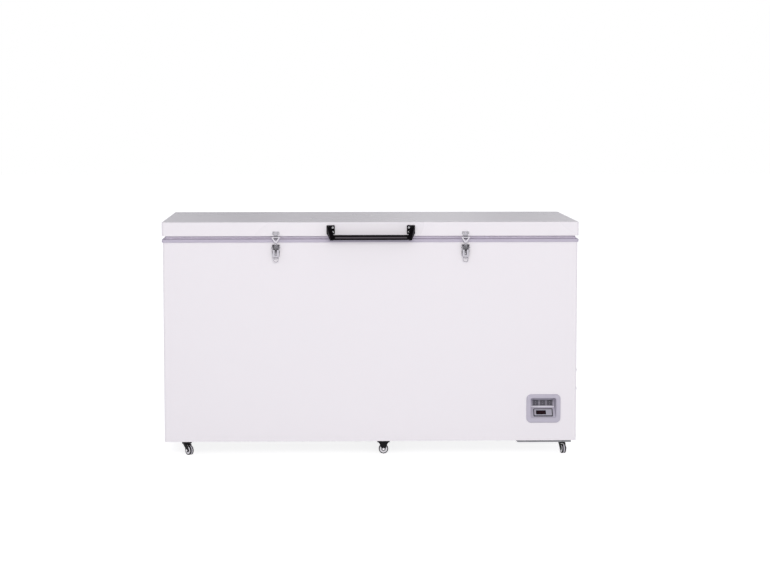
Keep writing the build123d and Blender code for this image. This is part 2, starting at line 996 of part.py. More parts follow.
def make_lever(side):
    """Channel-section lever, slotted for the claw's rod, with the claw's pin and a curled foot."""
    x = side * latch_spacing / 2
    pivot_y, pivot_z = lever_pivot()
    claw_y, claw_z = claw_pivot()
    ring_y, ring_z = ring_pivot()
    half = latch_width / 2 - latch_sheet - lever_side_gap
    web = pivot_y - lever_web_out
    foot = pivot_z - lever_length
    curl = ring_wire / 2 + ring_clearance
    behind = pivot_y + lever_heel_out + cut_margin
    with BuildPart() as lever:
        with BuildSketch(side_plane(x - half)):
            lever_side_profile()
        extrude(amount=2 * half)
        inner = half - lever_sheet
        slab(
            (x - inner, web + lever_sheet, foot - cut_margin),
            (x + inner, behind, pivot_z + cut_margin),
            mode=Mode.SUBTRACT,
        )
        slab(
            (x - inner, web - cut_margin, pivot_z - lever_web_drop),
            (x + inner, behind, pivot_z + cut_margin),
            mode=Mode.SUBTRACT,
        )
        slab(
            (x - lever_slot / 2, web - cut_margin, pivot_z - lever_slot_depth),
            (x + lever_slot / 2, pivot_y, pivot_z),
            mode=Mode.SUBTRACT,
        )
        with BuildSketch(side_plane(x - half)):
            with Locations((claw_y, claw_z)):
                Circle(latch_pivot_radius)
        extrude(amount=2 * half)
        with BuildSketch(side_plane(x - curl_width / 2)):
            with Locations((ring_y, ring_z)):
                Circle(curl + lever_sheet)
            with Locations((web + lever_sheet / 2, foot)):
                Rectangle(lever_sheet, curl_neck)
            with Locations((ring_y, ring_z)):
                Circle(curl, mode=Mode.SUBTRACT)
        extrude(amount=curl_width)
    return lever


def make_claw(side):
    """Claw: a barrel on the lever's pin, a rod with its adjusting nut, and a triangular loop."""
    x = side * latch_spacing / 2
    claw_y, claw_z = claw_pivot()
    lean = claw_lean()
    reach = claw_reach()
    face = Plane(origin=(x, claw_y, claw_z), x_dir=(1, 0, 0), z_dir=(0, -cos(lean), -sin(lean)))
    loop_base = reach - claw_height
    half = claw_width / 2
    bore = latch_pivot_radius + pivot_clearance
    with BuildPart() as claw:
        with BuildSketch(face.offset(-claw_thickness / 2)):
            with BuildLine():
                Polyline(
                    (-claw_root, loop_base - claw_root),
                    (claw_root, loop_base - claw_root),
                    (half, reach - claw_leg),
                    (half, reach),
                    (-half, reach),
                    (-half, reach - claw_leg),
                    close=True,
                )
            make_face()
            with BuildLine():
                Polyline(
                    (0, loop_base + 1.5 * claw_leg),
                    (half - 1.5 * claw_leg, reach - claw_leg),
                    (-half + 1.5 * claw_leg, reach - claw_leg),
                    close=True,
                )
            make_face(mode=Mode.SUBTRACT)
        extrude(amount=claw_thickness)
        rod = Plane(origin=(x, claw_y, claw_z), x_dir=(1, 0, 0), z_dir=(0, -sin(lean), cos(lean)))
        with BuildSketch(rod):
            Circle(claw_rod_radius)
        extrude(amount=loop_base)
        with BuildSketch(rod.offset(loop_base - claw_nut_drop)):
            RegularPolygon(claw_nut_radius, 6)
        extrude(amount=claw_nut_height)
        with BuildSketch(side_plane(x - claw_barrel_width / 2)):
            with Locations((claw_y, claw_z)):
                Circle(claw_barrel_radius)
        extrude(amount=claw_barrel_width)
        with BuildSketch(side_plane(x - claw_barrel_width / 2)):
            with Locations((claw_y, claw_z)):
                Circle(bore)
        extrude(amount=claw_barrel_width, mode=Mode.SUBTRACT)
    return claw


def make_ring(side):
    """D-shaped pull ring of round wire, its straight side in the lever's curled foot."""
    x = side * latch_spacing / 2
    ring_y, ring_z = ring_pivot()
    half = (ring_width - ring_wire) / 2
    low = ring_z - ring_height + ring_wire
    foot_half = half * ring_foot_share
    with BuildPart() as ring:
        with BuildLine(front_plane(ring_y)):
            FilletPolyline(
                (x + half, ring_z),
                (x + foot_half, low),
                (x - foot_half, low),
                (x - half, ring_z),
                radius=(ring_shoulder, ring_bend, ring_bend, ring_shoulder),
                close=True,
            )
        with BuildSketch(side_plane(x)):
            with Locations((ring_y, ring_z)):
                Circle(ring_wire / 2)
        sweep()
    return ring


# Control panel


def recess_volume(growth):
    """Space of the control recess: a drafted pocket above a sloping face, grown by the wall."""
    front = cabinet_front - panel_proud
    low = panel_z - recess_height / 2 + recess_rise
    ledge = low + ledge_above_recess
    back = cabinet_front + recess_depth - ledge_depth
    far = cabinet_front + 3 * recess_depth
    with BuildPart() as wedge:
        with BuildSketch(side_plane(panel_x)):
            with BuildLine():
                Polyline(
                    (cabinet_front - slope_start, low - growth),
                    (back, ledge - growth),
                    (far, ledge - growth),
                    (far, low - recess_height),
                    (cabinet_front - slope_start, low - recess_height),
                    close=True,
                )
            make_face()
        extrude(amount=panel_width, both=True)
    with BuildPart() as volume:
        with BuildSketch(front_plane(front)):
            with Locations((panel_x, panel_z + recess_rise)):
                RectangleRounded(
                    recess_width + 2 * growth,
                    recess_height + 2 * growth,
                    recess_corner + growth,
                )
        extrude(amount=-(recess_depth + panel_proud + growth), taper=recess_taper)
        add(wedge.part, mode=Mode.SUBTRACT)
    return volume.part


def slope_plane():
    """Plane on the recess's sloping face, drawn with X to the right and up the slope."""
    low = panel_z - recess_height / 2 + recess_rise
    rise = ledge_above_recess
    run = recess_depth - ledge_depth + slope_start
    length = (rise * rise + run * run) ** 0.5
    middle = (panel_x, cabinet_front - slope_start + run / 2, low + rise / 2)
    return Plane(origin=middle, x_dir=(1, 0, 0), z_dir=(0, -rise / length, run / length))


def switch_x(index):
    return panel_x + (index - (switch_count - 1) / 2) * switch_pitch


def switch_z():
    """Middle height of the switches, in the upright back wall of the recess."""
    low = panel_z - recess_height / 2 + recess_rise
    ledge = low + ledge_above_recess
    return ledge + switch_above_ledge + switch_flange_height / 2


def switch_seat():
    """Front of the recess's upright back wall."""
    return cabinet_front + recess_depth


def switch_case():
    """Width and height of a switch's case, which its flange overlaps on every side."""
    return switch_flange_width - 2 * switch_snap, switch_flange_height - 2 * switch_snap


def controller_face():
    """Width and height inside the controller's rim."""
    return controller_width - 2 * controller_rim, controller_height - 2 * controller_rim


def make_control_housing():
    recess = recess_volume(0)
    shell = recess_volume(panel_wall)
    slope = slope_plane()
    with BuildPart() as control_housing:
        add(shell)
        slab(
            (panel_x - panel_width, cabinet_front - 2 * panel_proud, panel_z - panel_height),
            (panel_x + panel_width, cabinet_front, panel_z + panel_height),
            mode=Mode.SUBTRACT,
        )
        with BuildSketch(front_plane(cabinet_front)):
            with Locations((panel_x, panel_z)):
                RectangleRounded(panel_width, panel_height, panel_corner)
        extrude(amount=panel_proud)
        rim = control_housing.edges().group_by(Axis.Y)[0]
        fillet(rim, panel_round)
        add(recess, mode=Mode.SUBTRACT)
        with BuildSketch(slope):
            Rectangle(*controller_face())
        extrude(amount=-3 * panel_wall, mode=Mode.SUBTRACT)
        with BuildSketch(front_plane(switch_seat())):
            for index in range(switch_count):
                with Locations((switch_x(index), switch_z())):
                    Rectangle(*switch_case())
        extrude(amount=-2 * panel_wall, mode=Mode.SUBTRACT)
    return control_housing


def switch_opening():
    """Width and height of the hole in a switch's flange."""
    return switch_flange_width - 2 * switch_rim, 2 * (rocker_radius + rocker_gap)


def rocker_pivot_y():
    return switch_seat() - switch_flange + rocker_pivot_depth


def make_switch_bodies():
    """Snap-in switch bodies: a flange against the wall and a case behind it."""
    hole_width, hole_height = switch_opening()
    pin = rocker_pin_radius + pivot_clearance
    with BuildPart() as switch_bodies:
        for index in range(switch_count):
            x = switch_x(index)
            with BuildSketch(front_plane(switch_seat())):
                with Locations((x, switch_z())):
                    Rectangle(switch_flange_width, switch_flange_height)
            extrude(amount=switch_flange)
            with BuildSketch(front_plane(switch_seat())):
                with Locations((x, switch_z())):
                    Rectangle(*switch_case())
            extrude(amount=-switch_body_depth)
            with BuildSketch(front_plane(switch_seat() - switch_flange)):
                with Locations((x, switch_z())):
                    Rectangle(hole_width, hole_height)
            extrude(amount=-(switch_body_depth - switch_wall), mode=Mode.SUBTRACT)
            with BuildSketch(side_plane(x - hole_width / 2 - rocker_pin_pocket)):
                with Locations((rocker_pivot_y(), switch_z())):
                    Circle(pin)
            extrude(amount=hole_width + 2 * rocker_pin_pocket, mode=Mode.SUBTRACT)
    return switch_bodies


def make_rocker(index):
    """Dished rocker with its lower half standing out, on two short pins."""
    x = switch_x(index)
    z = switch_z()
    y = rocker_pivot_y()
    hole_width = switch_opening()[0]
    half = hole_width / 2 - rocker_gap
    pin_half = hole_width / 2 + rocker_pin_end
    face = switch_seat() - switch_flange - rocker_proud
    lift = rocker_radius * tan(radians(rocker_tilt))
    with BuildPart() as rocker:
        with BuildSketch(side_plane(x - half)):
            with Locations((y, z)):
                Circle(rocker_radius)
            with BuildLine():
                Polyline(
                    (face, z + 2 * rocker_radius),
                    (face, z),
                    (face - 2 * lift, z - 2 * rocker_radius),
                    (y + rocker_back, z - 2 * rocker_radius),
                    (y + rocker_back, z + 2 * rocker_radius),
                    close=True,
                )
            make_face(mode=Mode.INTERSECT)
        extrude(amount=2 * half)
        with BuildSketch(side_plane(x - pin_half)):
            with Locations((y, z)):
                Circle(rocker_pin_radius)
        extrude(amount=2 * pin_half)
    return rocker


def make_controller_body():
    """Flush-mounted temperature controller: rim, face recess and case behind the slope."""
    slope = slope_plane()
    inner_width, inner_height = controller_face()
    with BuildPart() as controller_body:
        with BuildSketch(slope):
            RectangleRounded(controller_width, controller_height, controller_corner)
        extrude(amount=controller_flange)
        with BuildSketch(slope):
            Rectangle(inner_width - 2 * controller_case_gap, inner_height - 2 * controller_case_gap)
        extrude(amount=-controller_case_depth)
        with BuildSketch(slope.offset(facia_seat)):
            Rectangle(*controller_face())
        extrude(amount=controller_flange, mode=Mode.SUBTRACT)
    return controller_body


def display_offset():
    """Middle of the display along the controller's face, from the face's own middle."""
    return -controller_width / 2 + display_from_left + display_width / 2


def make_controller_facia():
    """Pale face plate with a window cut-out and four keys raised in its sealed film."""
    slope = slope_plane()
    keys_x = controller_width / 2 - keys_from_right
    with BuildPart() as controller_facia:
        with BuildSketch(slope.offset(facia_seat)):
            Rectangle(*controller_face())
            with Locations((display_offset(), 0)):
                Rectangle(display_width, display_height, mode=Mode.SUBTRACT)
        extrude(amount=facia_thickness)
        with BuildSketch(slope.offset(facia_seat + facia_thickness)):
            with Locations((keys_x, 0)):
                with GridLocations(key_pitch, key_pitch, 2, 2):
                    RectangleRounded(key_size, key_size, key_corner)
        extrude(amount=key_rise)
    return controller_facia


def make_controller_window():
    slope = slope_plane()
    with BuildPart() as controller_window:
        with BuildSketch(slope.offset(facia_seat)):
            with Locations((display_offset(), 0)):
                Rectangle(display_width, display_height)
        extrude(amount=window_thickness)
    return controller_window


# Castors


def castor_frame(x, y, heading):
    """Plane through a castor's upright axis, drawn along its trail and up."""
    turn = radians(heading)
    return Plane(origin=(x, y, 0), x_dir=(cos(turn), sin(turn), 0), z_dir=(sin(turn), -cos(turn), 0))


def swivel_places():
    """Name, x, y and heading of each corner castor."""
    left, _, right = castor_positions
    return (
        ("front_left", left, -castor_y, left_front_heading),
        ("front_right", right, -castor_y, right_front_heading),
        ("rear_left", left, castor_y, left_rear_heading),
        ("rear_right", right, castor_y, right_rear_heading),
    )


def rigid_places():
    middle = castor_positions[1]
    return (
        ("front_middle", middle, -castor_y, 0.0),
        ("rear_middle", middle, castor_y, 0.0),
    )


def plate_size(x):
    """The left castors' plates lie lengthwise along Y, the others along X."""
    if x == castor_positions[0]:
        return castor_plate_short, castor_plate_long
    return castor_plate_long, castor_plate_short


def castor_plate(x, y):
    """A screwed plate under the cabinet."""
    width, depth = plate_size(x)
    hole_margin = 2 * castor_plate_hole_inset
    with BuildPart() as plate:
        with BuildSketch(Plane.XY.offset(castor_height - castor_plate_thickness)):
            with Locations((x, y)):
                RectangleRounded(width, depth, castor_plate_round)
                with GridLocations(width - hole_margin, depth - hole_margin, 2, 2):
                    Circle(castor_plate_hole, mode=Mode.SUBTRACT)
        extrude(amount=castor_plate_thickness)
    return plate.part


def crown_top():
    return wheel_radius * 2 + fork_crown_gap + fork_crown


def make_castor_plates():
    """Plates of the swivel castors, each with its race and its kingpin."""
    plate_bottom = castor_height - castor_plate_thickness
    crown_bottom = crown_top() - fork_crown
    race_bottom = (plate_bottom + crown_top()) / 2 + running_gap / 2
    head_bottom = crown_bottom - kingpin_head_height
    plates = [castor_plate(x, y) for _, x, y, _ in swivel_places()]
    with BuildPart() as castor_plates:
        add(plates)
        for _, x, y, _ in swivel_places():
            with BuildSketch(Plane.XY.offset(race_bottom)):
                with Locations((x, y)):
                    Circle(race_radius)
            extrude(amount=plate_bottom - race_bottom)
            with BuildSketch(Plane.XY.offset(head_bottom)):
                with Locations((x, y)):
                    Circle(kingpin_radius)
            extrude(amount=plate_bottom - head_bottom)
            with BuildSketch(Plane.XY.offset(head_bottom)):
                with Locations((x, y)):
                    Circle(kingpin_head_radius)
            extrude(amount=kingpin_head_height - running_gap)
    return castor_plates


def make_fork(x, y, heading):
    """Swivel fork: a crown under the race, two cheeks down to the axle, and the axle bolt."""
    frame = castor_frame(x, y, heading)
    plate_bottom = castor_height - castor_plate_thickness
    race_top = (plate_bottom + crown_top()) / 2 - running_gap / 2
    half = fork_gap / 2 + fork_sheet
    with BuildPart() as fork:
        with BuildSketch(frame):
            with Locations((castor_trail, wheel_radius)):
                Circle(fork_foot_radius)
            with BuildLine():
                Polyline(
                    (castor_trail - fork_foot_radius, wheel_radius),
                    (castor_trail + fork_foot_radius, wheel_radius),
                    (race_radius - race_lip, crown_top()),
                    (race_lip - race_radius, crown_top()),
                    close=True,
                )
            make_face()
        extrude(amount=half, both=True)
        with BuildSketch(frame):
            with Locations((0, 0)):
                Rectangle(6 * race_radius, 2 * (crown_top() - fork_crown))
        extrude(amount=fork_gap / 2, both=True, mode=Mode.SUBTRACT)
        with BuildSketch(Plane.XY.offset(crown_top() - fork_crown)):
            with Locations((x, y)):
                Circle(race_radius - race_lip)
        extrude(amount=race_top - crown_top() + fork_crown)
        with BuildSketch(Plane.XY):
            with Locations((x, y)):
                Circle(kingpin_radius + pivot_clearance)
        extrude(amount=castor_height, mode=Mode.SUBTRACT)
        with BuildSketch(frame):
            with Locations((castor_trail, wheel_radius)):
                Circle(axle_radius)
        extrude(amount=half + axle_end, both=True)
        for outward in (-1, 1):
            with BuildSketch(frame.offset(outward * half)):
                with Locations((castor_trail, wheel_radius)):
                    RegularPolygon(axle_nut_radius, 6)
            extrude(amount=outward * axle_nut_height)
    return fork


def make_rigid_castor_forks():
    """Fixed castors: a plate, two flared cheeks and the axle bolt in one pressed piece each."""
    plate_bottom = castor_height - castor_plate_thickness
    half = fork_gap / 2 + fork_sheet
    plates = [castor_plate(x, y) for _, x, y, _ in rigid_places()]
    with BuildPart() as rigid_castor_forks:
        add(plates)
        for _, x, y, heading in rigid_places():
            frame = castor_frame(x, y, heading)
            with BuildSketch(frame):
                with Locations((0, wheel_radius)):
                    Circle(fork_foot_radius)
                with BuildLine():
                    Polyline(
                        (-fork_foot_radius, wheel_radius),
                        (fork_foot_radius, wheel_radius),
                        (rigid_fork_waist, crown_top()),
                        (rigid_fork_shoulder, plate_bottom),
                        (-rigid_fork_shoulder, plate_bottom),
                        (-rigid_fork_waist, crown_top()),
                        close=True,
                    )
                make_face()
            extrude(amount=half, both=True)
            with BuildSketch(frame):
                with Locations((0, 0)):
                    Rectangle(6 * race_radius, 2 * plate_bottom)
            extrude(amount=fork_gap / 2, both=True, mode=Mode.SUBTRACT)
            with BuildSketch(frame):
                with Locations((0, wheel_radius)):
                    Circle(axle_radius)
            extrude(amount=half + axle_end, both=True)
            for outward in (-1, 1):
                with BuildSketch(frame.offset(outward * half)):
                    with Locations((0, wheel_radius)):
                        RegularPolygon(axle_nut_radius, 6)
                extrude(amount=outward * axle_nut_height)
    return rigid_castor_forks


def make_wheel(x, y, heading, trail):
    """Wheel with a rubber tread, a dished web and a hub that turns on the axle."""
    frame = castor_frame(x, y, heading)
    hub_half = fork_gap / 2 - running_gap
    with BuildPart() as wheel:
        with BuildSketch(frame):
            with Locations((trail, wheel_radius)):
                Circle(wheel_radius)
                Circle(wheel_rim_radius, mode=Mode.SUBTRACT)
        extrude(amount=wheel_width / 2, both=True)
        with BuildSketch(frame):
            with Locations((trail, wheel_radius)):
                Circle(wheel_rim_radius)
        extrude(amount=wheel_web / 2, both=True)
        with BuildSketch(frame):
            with Locations((trail, wheel_radius)):
                Circle(wheel_hub_radius)
        extrude(amount=hub_half, both=True)
        with BuildSketch(frame):
            with Locations((trail, wheel_radius)):
                Circle(axle_radius + pivot_clearance)
        extrude(amount=fork_gap, both=True, mode=Mode.SUBTRACT)
    return wheel


def make_mounting_rails():
    """Channel rails across the underside, which carry the left and the middle castors."""
    rail_length = cabinet_depth - 2 * rail_end_gap
    with BuildPart() as mounting_rails:
        for x in castor_positions[:2]:
            rail_width = plate_size(x)[0]
            with BuildSketch(Plane.XY.offset(castor_height)):
                with Locations((x, 0)):
                    RectangleRounded(rail_width, rail_length, rail_round)
            extrude(amount=rail_height)
            with BuildSketch(Plane.XY.offset(castor_height + rail_sheet)):
                with Locations((x, 0)):
                    RectangleRounded(
                        rail_width - 2 * rail_sheet,
                        rail_length - 2 * rail_sheet,
                        rail_round - rail_sheet,
                    )
            extrude(amount=rail_height, mode=Mode.SUBTRACT)
    return mounting_rails


# Machine room


def pan_left():
    return pan_right() - pan_length


def pan_right():
    return half_length - pan_from_right


def pan_tray(growth, bottom):
    """The base pan's pressed shape: a sloping left end and upright other walls."""
    left = pan_left() + growth
    right = pan_right() - growth
    half = half_depth - pan_inset - growth
    with BuildPart() as tray:
        with BuildSketch(front_plane(0)):
            with BuildLine():
                Polyline(
                    (left, floor_gap),
                    (left + pan_slope, bottom),
                    (right, bottom),
                    (right, floor_gap),
                    close=True,
                )
            make_face()
        extrude(amount=half, both=True)
    return tray.part


def make_base_pan():
    outside = pan_tray(0, castor_height)
    inside = pan_tray(pan_sheet, castor_height + pan_sheet)
    with BuildPart() as base_pan:
        add(outside)
        add(inside, mode=Mode.SUBTRACT)
    return base_pan


def side_grille_y():
    return cabinet_front + grille_from_front + grille_length / 2


def grille_bars(place, width, height, count):
    """Slats across a grille's opening, as (x, z) rectangles in its sketch."""
    step = height / (count + 1)
    for index in range(count):
        with Locations((place[0], place[1] - height / 2 + (index + 1) * step)):
            Rectangle(width, slat_height)


def make_side_grille():
    """Right side air inlet: a framed louvre plate with two hooded louvres."""
    place = (side_grille_y(), grille_centre_height)
    inner_length = grille_length - 2 * grille_border
    inner_height = grille_height - 2 * grille_border
    hood_length = grille_length - 2 * grille_hood_end
    hood_front = place[0] - hood_length / 2
    with BuildPart() as side_grille:
        with BuildSketch(side_plane(half_length)):
            with Locations(place):
                RectangleRounded(grille_length, grille_height, grille_round)
                Rectangle(inner_length, inner_height, mode=Mode.SUBTRACT)
            grille_bars(place, inner_length, inner_height, slat_count)
        extrude(amount=grille_frame)
        for side in (-1, 1):
            middle = grille_centre_height + side * grille_hood_pitch / 2
            low = middle - grille_hood / 2
            high = middle + grille_hood / 2
            with BuildSketch(front_plane(hood_front)):
                with BuildLine():
                    Polyline(
                        (half_length, low),
                        (half_length + grille_hood_proud, low + grille_hood_lip),
                        (half_length + grille_hood_proud, low + 2 * grille_hood_lip),
                        (half_length + grille_frame, high),
                        (half_length, high),
                        close=True,
                    )
                make_face()
            extrude(amount=-hood_length)
    return side_grille


def rear_grille_x():
    return (room_left + room_right) / 2 + rear_grille_shift


def rear_grille_z():
    return (floor_gap + room_top) / 2 + rear_grille_rise


def make_rear_grille():
    """Back air outlet of the machine room."""
    place = (rear_grille_x(), rear_grille_z())
    inner_length = rear_grille_length - 2 * grille_border
    inner_height = rear_grille_height - 2 * grille_border
    with BuildPart() as rear_grille:
        with BuildSketch(front_plane(half_depth)):
            with Locations(place):
                RectangleRounded(rear_grille_length, rear_grille_height, grille_round)
                Rectangle(inner_length, inner_height, mode=Mode.SUBTRACT)
            grille_bars(place, inner_length, inner_height, 2 * slat_count)
        extrude(amount=-grille_frame)
    return rear_grille


def inlet_x():
    return room_left + inlet_from_wall


def inlet_z():
    return floor_gap + inlet_above_bottom


def make_power_inlet():
    """Snap-in appliance inlet in the back, with three flat contact pins."""
    x = inlet_x()
    z = inlet_z()
    cavity_floor = half_depth + inlet_flange_sheet - inlet_cavity
    low_contact = z - contact_drop
    contacts = (
        (x - contact_pitch, low_contact),
        (x, z + earth_contact_rise),
        (x + contact_pitch, low_contact),
    )
    with BuildPart() as power_inlet:
        with BuildSketch(front_plane(half_depth)):
            with Locations((x, z)):
                RectangleRounded(inlet_width + 2 * inlet_flange, inlet_height + 2 * inlet_flange, inlet_round)
        extrude(amount=-inlet_flange_sheet)
        with BuildSketch(front_plane(half_depth)):
            with Locations((x, z)):
                Rectangle(inlet_width, inlet_height)
        extrude(amount=inlet_depth)
        with BuildSketch(front_plane(half_depth + inlet_flange_sheet)):
            with Locations((x, z)):
                RectangleRounded(inlet_width - 2 * inlet_wall, inlet_height - 2 * inlet_wall, inlet_round)
        extrude(amount=inlet_cavity, mode=Mode.SUBTRACT)
        with BuildSketch(front_plane(cavity_floor)):
            with Locations(contacts):
                Rectangle(contact_width, contact_height)
        extrude(amount=-contact_length)
    return power_inlet


def compressor_x():
    return pan_left() + compressor_from_pan


def compressor_y():
    return half_depth - compressor_from_back


def pan_floor():
    return castor_height + pan_sheet


def compressor_plate_z():
    return pan_floor() + grommet_height


def make_compressor():
    """Hermetic compressor: a domed shell with a welded seam, on a mounting plate."""
    base = compressor_plate_z() + compressor_plate
    middle = (compressor_x(), compressor_y())
    with BuildPart() as compressor:
        with BuildSketch(Plane.XY.offset(base)):
            with Locations(middle):
                Circle(compressor_radius)
        extrude(amount=compressor_height)
        chamfer(compressor.edges().group_by(Axis.Z)[-1], compressor_crown / 2, compressor_crown)
        chamfer(compressor.edges().group_by(Axis.Z)[0], compressor_foot, compressor_foot / 2)
        with BuildSketch(Plane.XY.offset(base + compressor_height / 2)):
            with Locations(middle):
                Circle(compressor_radius + compressor_seam)
        extrude(amount=compressor_seam_height)
        with BuildSketch(Plane.XY.offset(compressor_plate_z())):
            with Locations(middle):
                RectangleRounded(compressor_plate_width, compressor_plate_length, compressor_plate_round)
        extrude(amount=compressor_plate)
    return compressor


def grommet_places():
    reach_x = compressor_plate_width / 2 - grommet_inset
    reach_y = compressor_plate_length / 2 - grommet_inset
    return [
        (compressor_x() + a * reach_x, compressor_y() + b * reach_y)
        for a in (-1, 1)
        for b in (-1, 1)
    ]


def make_compressor_feet():
    """Rubber grommets between the pan and the compressor's plate."""
    with BuildPart() as compressor_feet:
        with BuildSketch(Plane.XY.offset(pan_floor())):
            with Locations(grommet_places()):
                Circle(grommet_radius)
        extrude(amount=grommet_height, taper=grommet_taper)
    return compressor_feet


def make_terminal_box():
    """Cover of the compressor's start relay and terminals, on its front side."""
    base = compressor_plate_z() + compressor_plate
    low = base + terminal_rise
    front = compressor_y() - compressor_radius
    with BuildPart() as terminal_box:
        slab(
            (compressor_x() - terminal_width / 2, front - terminal_proud, low),
            (compressor_x() + terminal_width / 2, front + terminal_lap, low + terminal_height),
        )
        with BuildSketch(Plane.XY.offset(base)):
            with Locations((compressor_x(), compressor_y())):
                Circle(compressor_radius)
        extrude(amount=compressor_height, mode=Mode.SUBTRACT)
    return terminal_box


def condenser_place():
    """Front face y, left x and foot z of the condenser, which stands across the room."""
    return room_front + condenser_from_front, pan_left() + pan_slope + condenser_from_slope, pan_floor()


def make_condenser():
    """Finned-tube condenser: end plates, fins and straight tube runs."""
    y, x, z = condenser_place()
    top = z + condenser_height
    fins = int((condenser_length - 2 * condenser_fin) // condenser_fin_pitch)
    pitch = (condenser_length - condenser_fin) / fins
    row_pitch = condenser_height / condenser_rows
    with BuildPart() as condenser:
        with BuildSketch(side_plane(x)):
            for row in range(condenser_rows):
                with Locations((y + condenser_thickness / 2, z + (row + 0.5) * row_pitch)):
                    Rectangle(2 * condenser_tube_radius, 2 * condenser_tube_radius)
        extrude(amount=condenser_length)
        for fin in range(fins + 1):
            slab(
                (x + fin * pitch, y, z),
                (x + fin * pitch + condenser_fin, y + condenser_thickness, top),
            )
    return condenser


def fan_centre():
    """Middle of the fan: x, z and the front of its shroud."""
    y, x, z = condenser_place()
    return x + condenser_length / 2, z + condenser_height / 2, y + condenser_thickness


def make_fan_shroud():
    """Sheet shroud behind the condenser with a round throat, and the motor's crossbar."""
    x, z, y = fan_centre()
    left = x - condenser_length / 2
    low = z - condenser_height / 2
    throat = fan_radius + fan_running_gap
    back = y + shroud_depth + shroud_sheet
    with BuildPart() as fan_shroud:
        slab(
            (left, y, low),
            (left + condenser_length, back, low + condenser_height),
        )
        slab(
            (left + shroud_sheet, y - cut_margin, low + shroud_sheet),
            (left + condenser_length - shroud_sheet, y + shroud_depth, low + condenser_height - shroud_sheet),
            mode=Mode.SUBTRACT,
        )
        with BuildSketch(front_plane(back)):
            with Locations((x, z)):
                Circle(throat)
        extrude(amount=2 * shroud_sheet, mode=Mode.SUBTRACT)
        slab(
            (x - crossbar_width / 2, back, low + crossbar_end_gap),
            (x + crossbar_width / 2, back + crossbar_sheet, low + condenser_height - crossbar_end_gap),
        )
        with BuildSketch(front_plane(back)):
            with Locations((x, z)):
                Circle(fan_shaft_radius)
        extrude(amount=-crossbar_sheet, mode=Mode.SUBTRACT)
    return fan_shroud


def make_fan_motor():
    """Motor on the crossbar with its shaft forward into the fan."""
    x, z, y = fan_centre()
    bar_back = y + shroud_depth + shroud_sheet + crossbar_sheet
    hub_front = y + fan_hub_setback
    with BuildPart() as fan_motor:
        with BuildSketch(front_plane(bar_back + fan_motor_length)):
            with Locations((x, z)):
                Circle(fan_motor_radius)
        extrude(amount=fan_motor_length)
        with BuildSketch(front_plane(bar_back)):
            with Locations((x, z)):
                Circle(fan_shaft_radius)
        extrude(amount=bar_back - hub_front)
    return fan_motor


def make_fan_rotor():
    """Axial fan: a hub on the motor's shaft and pitched blades."""
    x, z, y = fan_centre()
    hub_back = y + fan_hub_setback + fan_hub_length
    blade_y = hub_back - fan_hub_length / 2
    root_radius = fan_hub_radius - blade_root_lap
    span = fan_radius - blade_tip_setback - root_radius
    with BuildPart() as fan_rotor:
        with BuildSketch(front_plane(hub_back)):
            with Locations((x, z)):
                Circle(fan_hub_radius)
        extrude(amount=fan_hub_length)
        for index in range(blade_count):
            turn = radians(index * 360 / blade_count)
            along = (cos(turn), 0, sin(turn))
            root = Plane(
                origin=(x + root_radius * along[0], blade_y, z + root_radius * along[2]),
                x_dir=(-sin(turn), 0, cos(turn)),
                z_dir=along,
            )
            with BuildSketch(root.rotated((0, 0, blade_root_pitch))):
                Rectangle(blade_root, blade_root_thickness)
            with BuildSketch(root.offset(span).rotated((0, 0, blade_tip_pitch))):
                Rectangle(blade_tip, blade_tip_thickness)
            loft()
        with BuildSketch(front_plane(hub_back)):
            with Locations((x, z)):
                Circle(fan_shaft_radius + pivot_clearance)
        extrude(amount=2 * fan_hub_length, both=True, mode=Mode.SUBTRACT)
    return fan_rotor


def drier_place():
    """Middle x, y and foot z of the filter drier."""
    return room_left + drier_radius, compressor_y(), floor_gap + drier_above_bottom


def make_filter_drier():
    """Copper filter drier, upright on the machine room's insulated wall."""
    x, y, low = drier_place()
    with BuildPart() as filter_drier:
        with BuildSketch(Plane.XY.offset(low)):
            with Locations((x, y)):
                Circle(drier_radius)
        extrude(amount=drier_length)
        chamfer(filter_drier.edges().filter_by(GeomType.CIRCLE), drier_cone)
    return filter_drier


def make_refrigerant_lines():
    """Suction and discharge lines, each a run of tube with rounded corners."""
    drier_x, drier_y, drier_low = drier_place()
    start_x = compressor_x() - compressor_radius
    near_y = compressor_y() + line_shift
    far_y = near_y + line_run
    low = compressor_plate_z() + compressor_plate + line_above_base
    high = room_top - line_below_roof
    suction = FilletPolyline(
        (start_x, near_y, low),
        (start_x - line_stub, near_y, low),
        (start_x - line_stub, near_y, high),
        (start_x - line_stub, far_y, high),
        (room_left, far_y, high),
        radius=line_bend,
    )
    liquid = Line((drier_x, drier_y, drier_low + drier_length), (drier_x, drier_y, room_top))
    with BuildPart() as refrigerant_lines:
        for path in (suction, liquid):
            with BuildSketch(Plane(origin=path @ 0, z_dir=path % 0)):
                Circle(line_radius)
            sweep(path=path)
    return refrigerant_lines


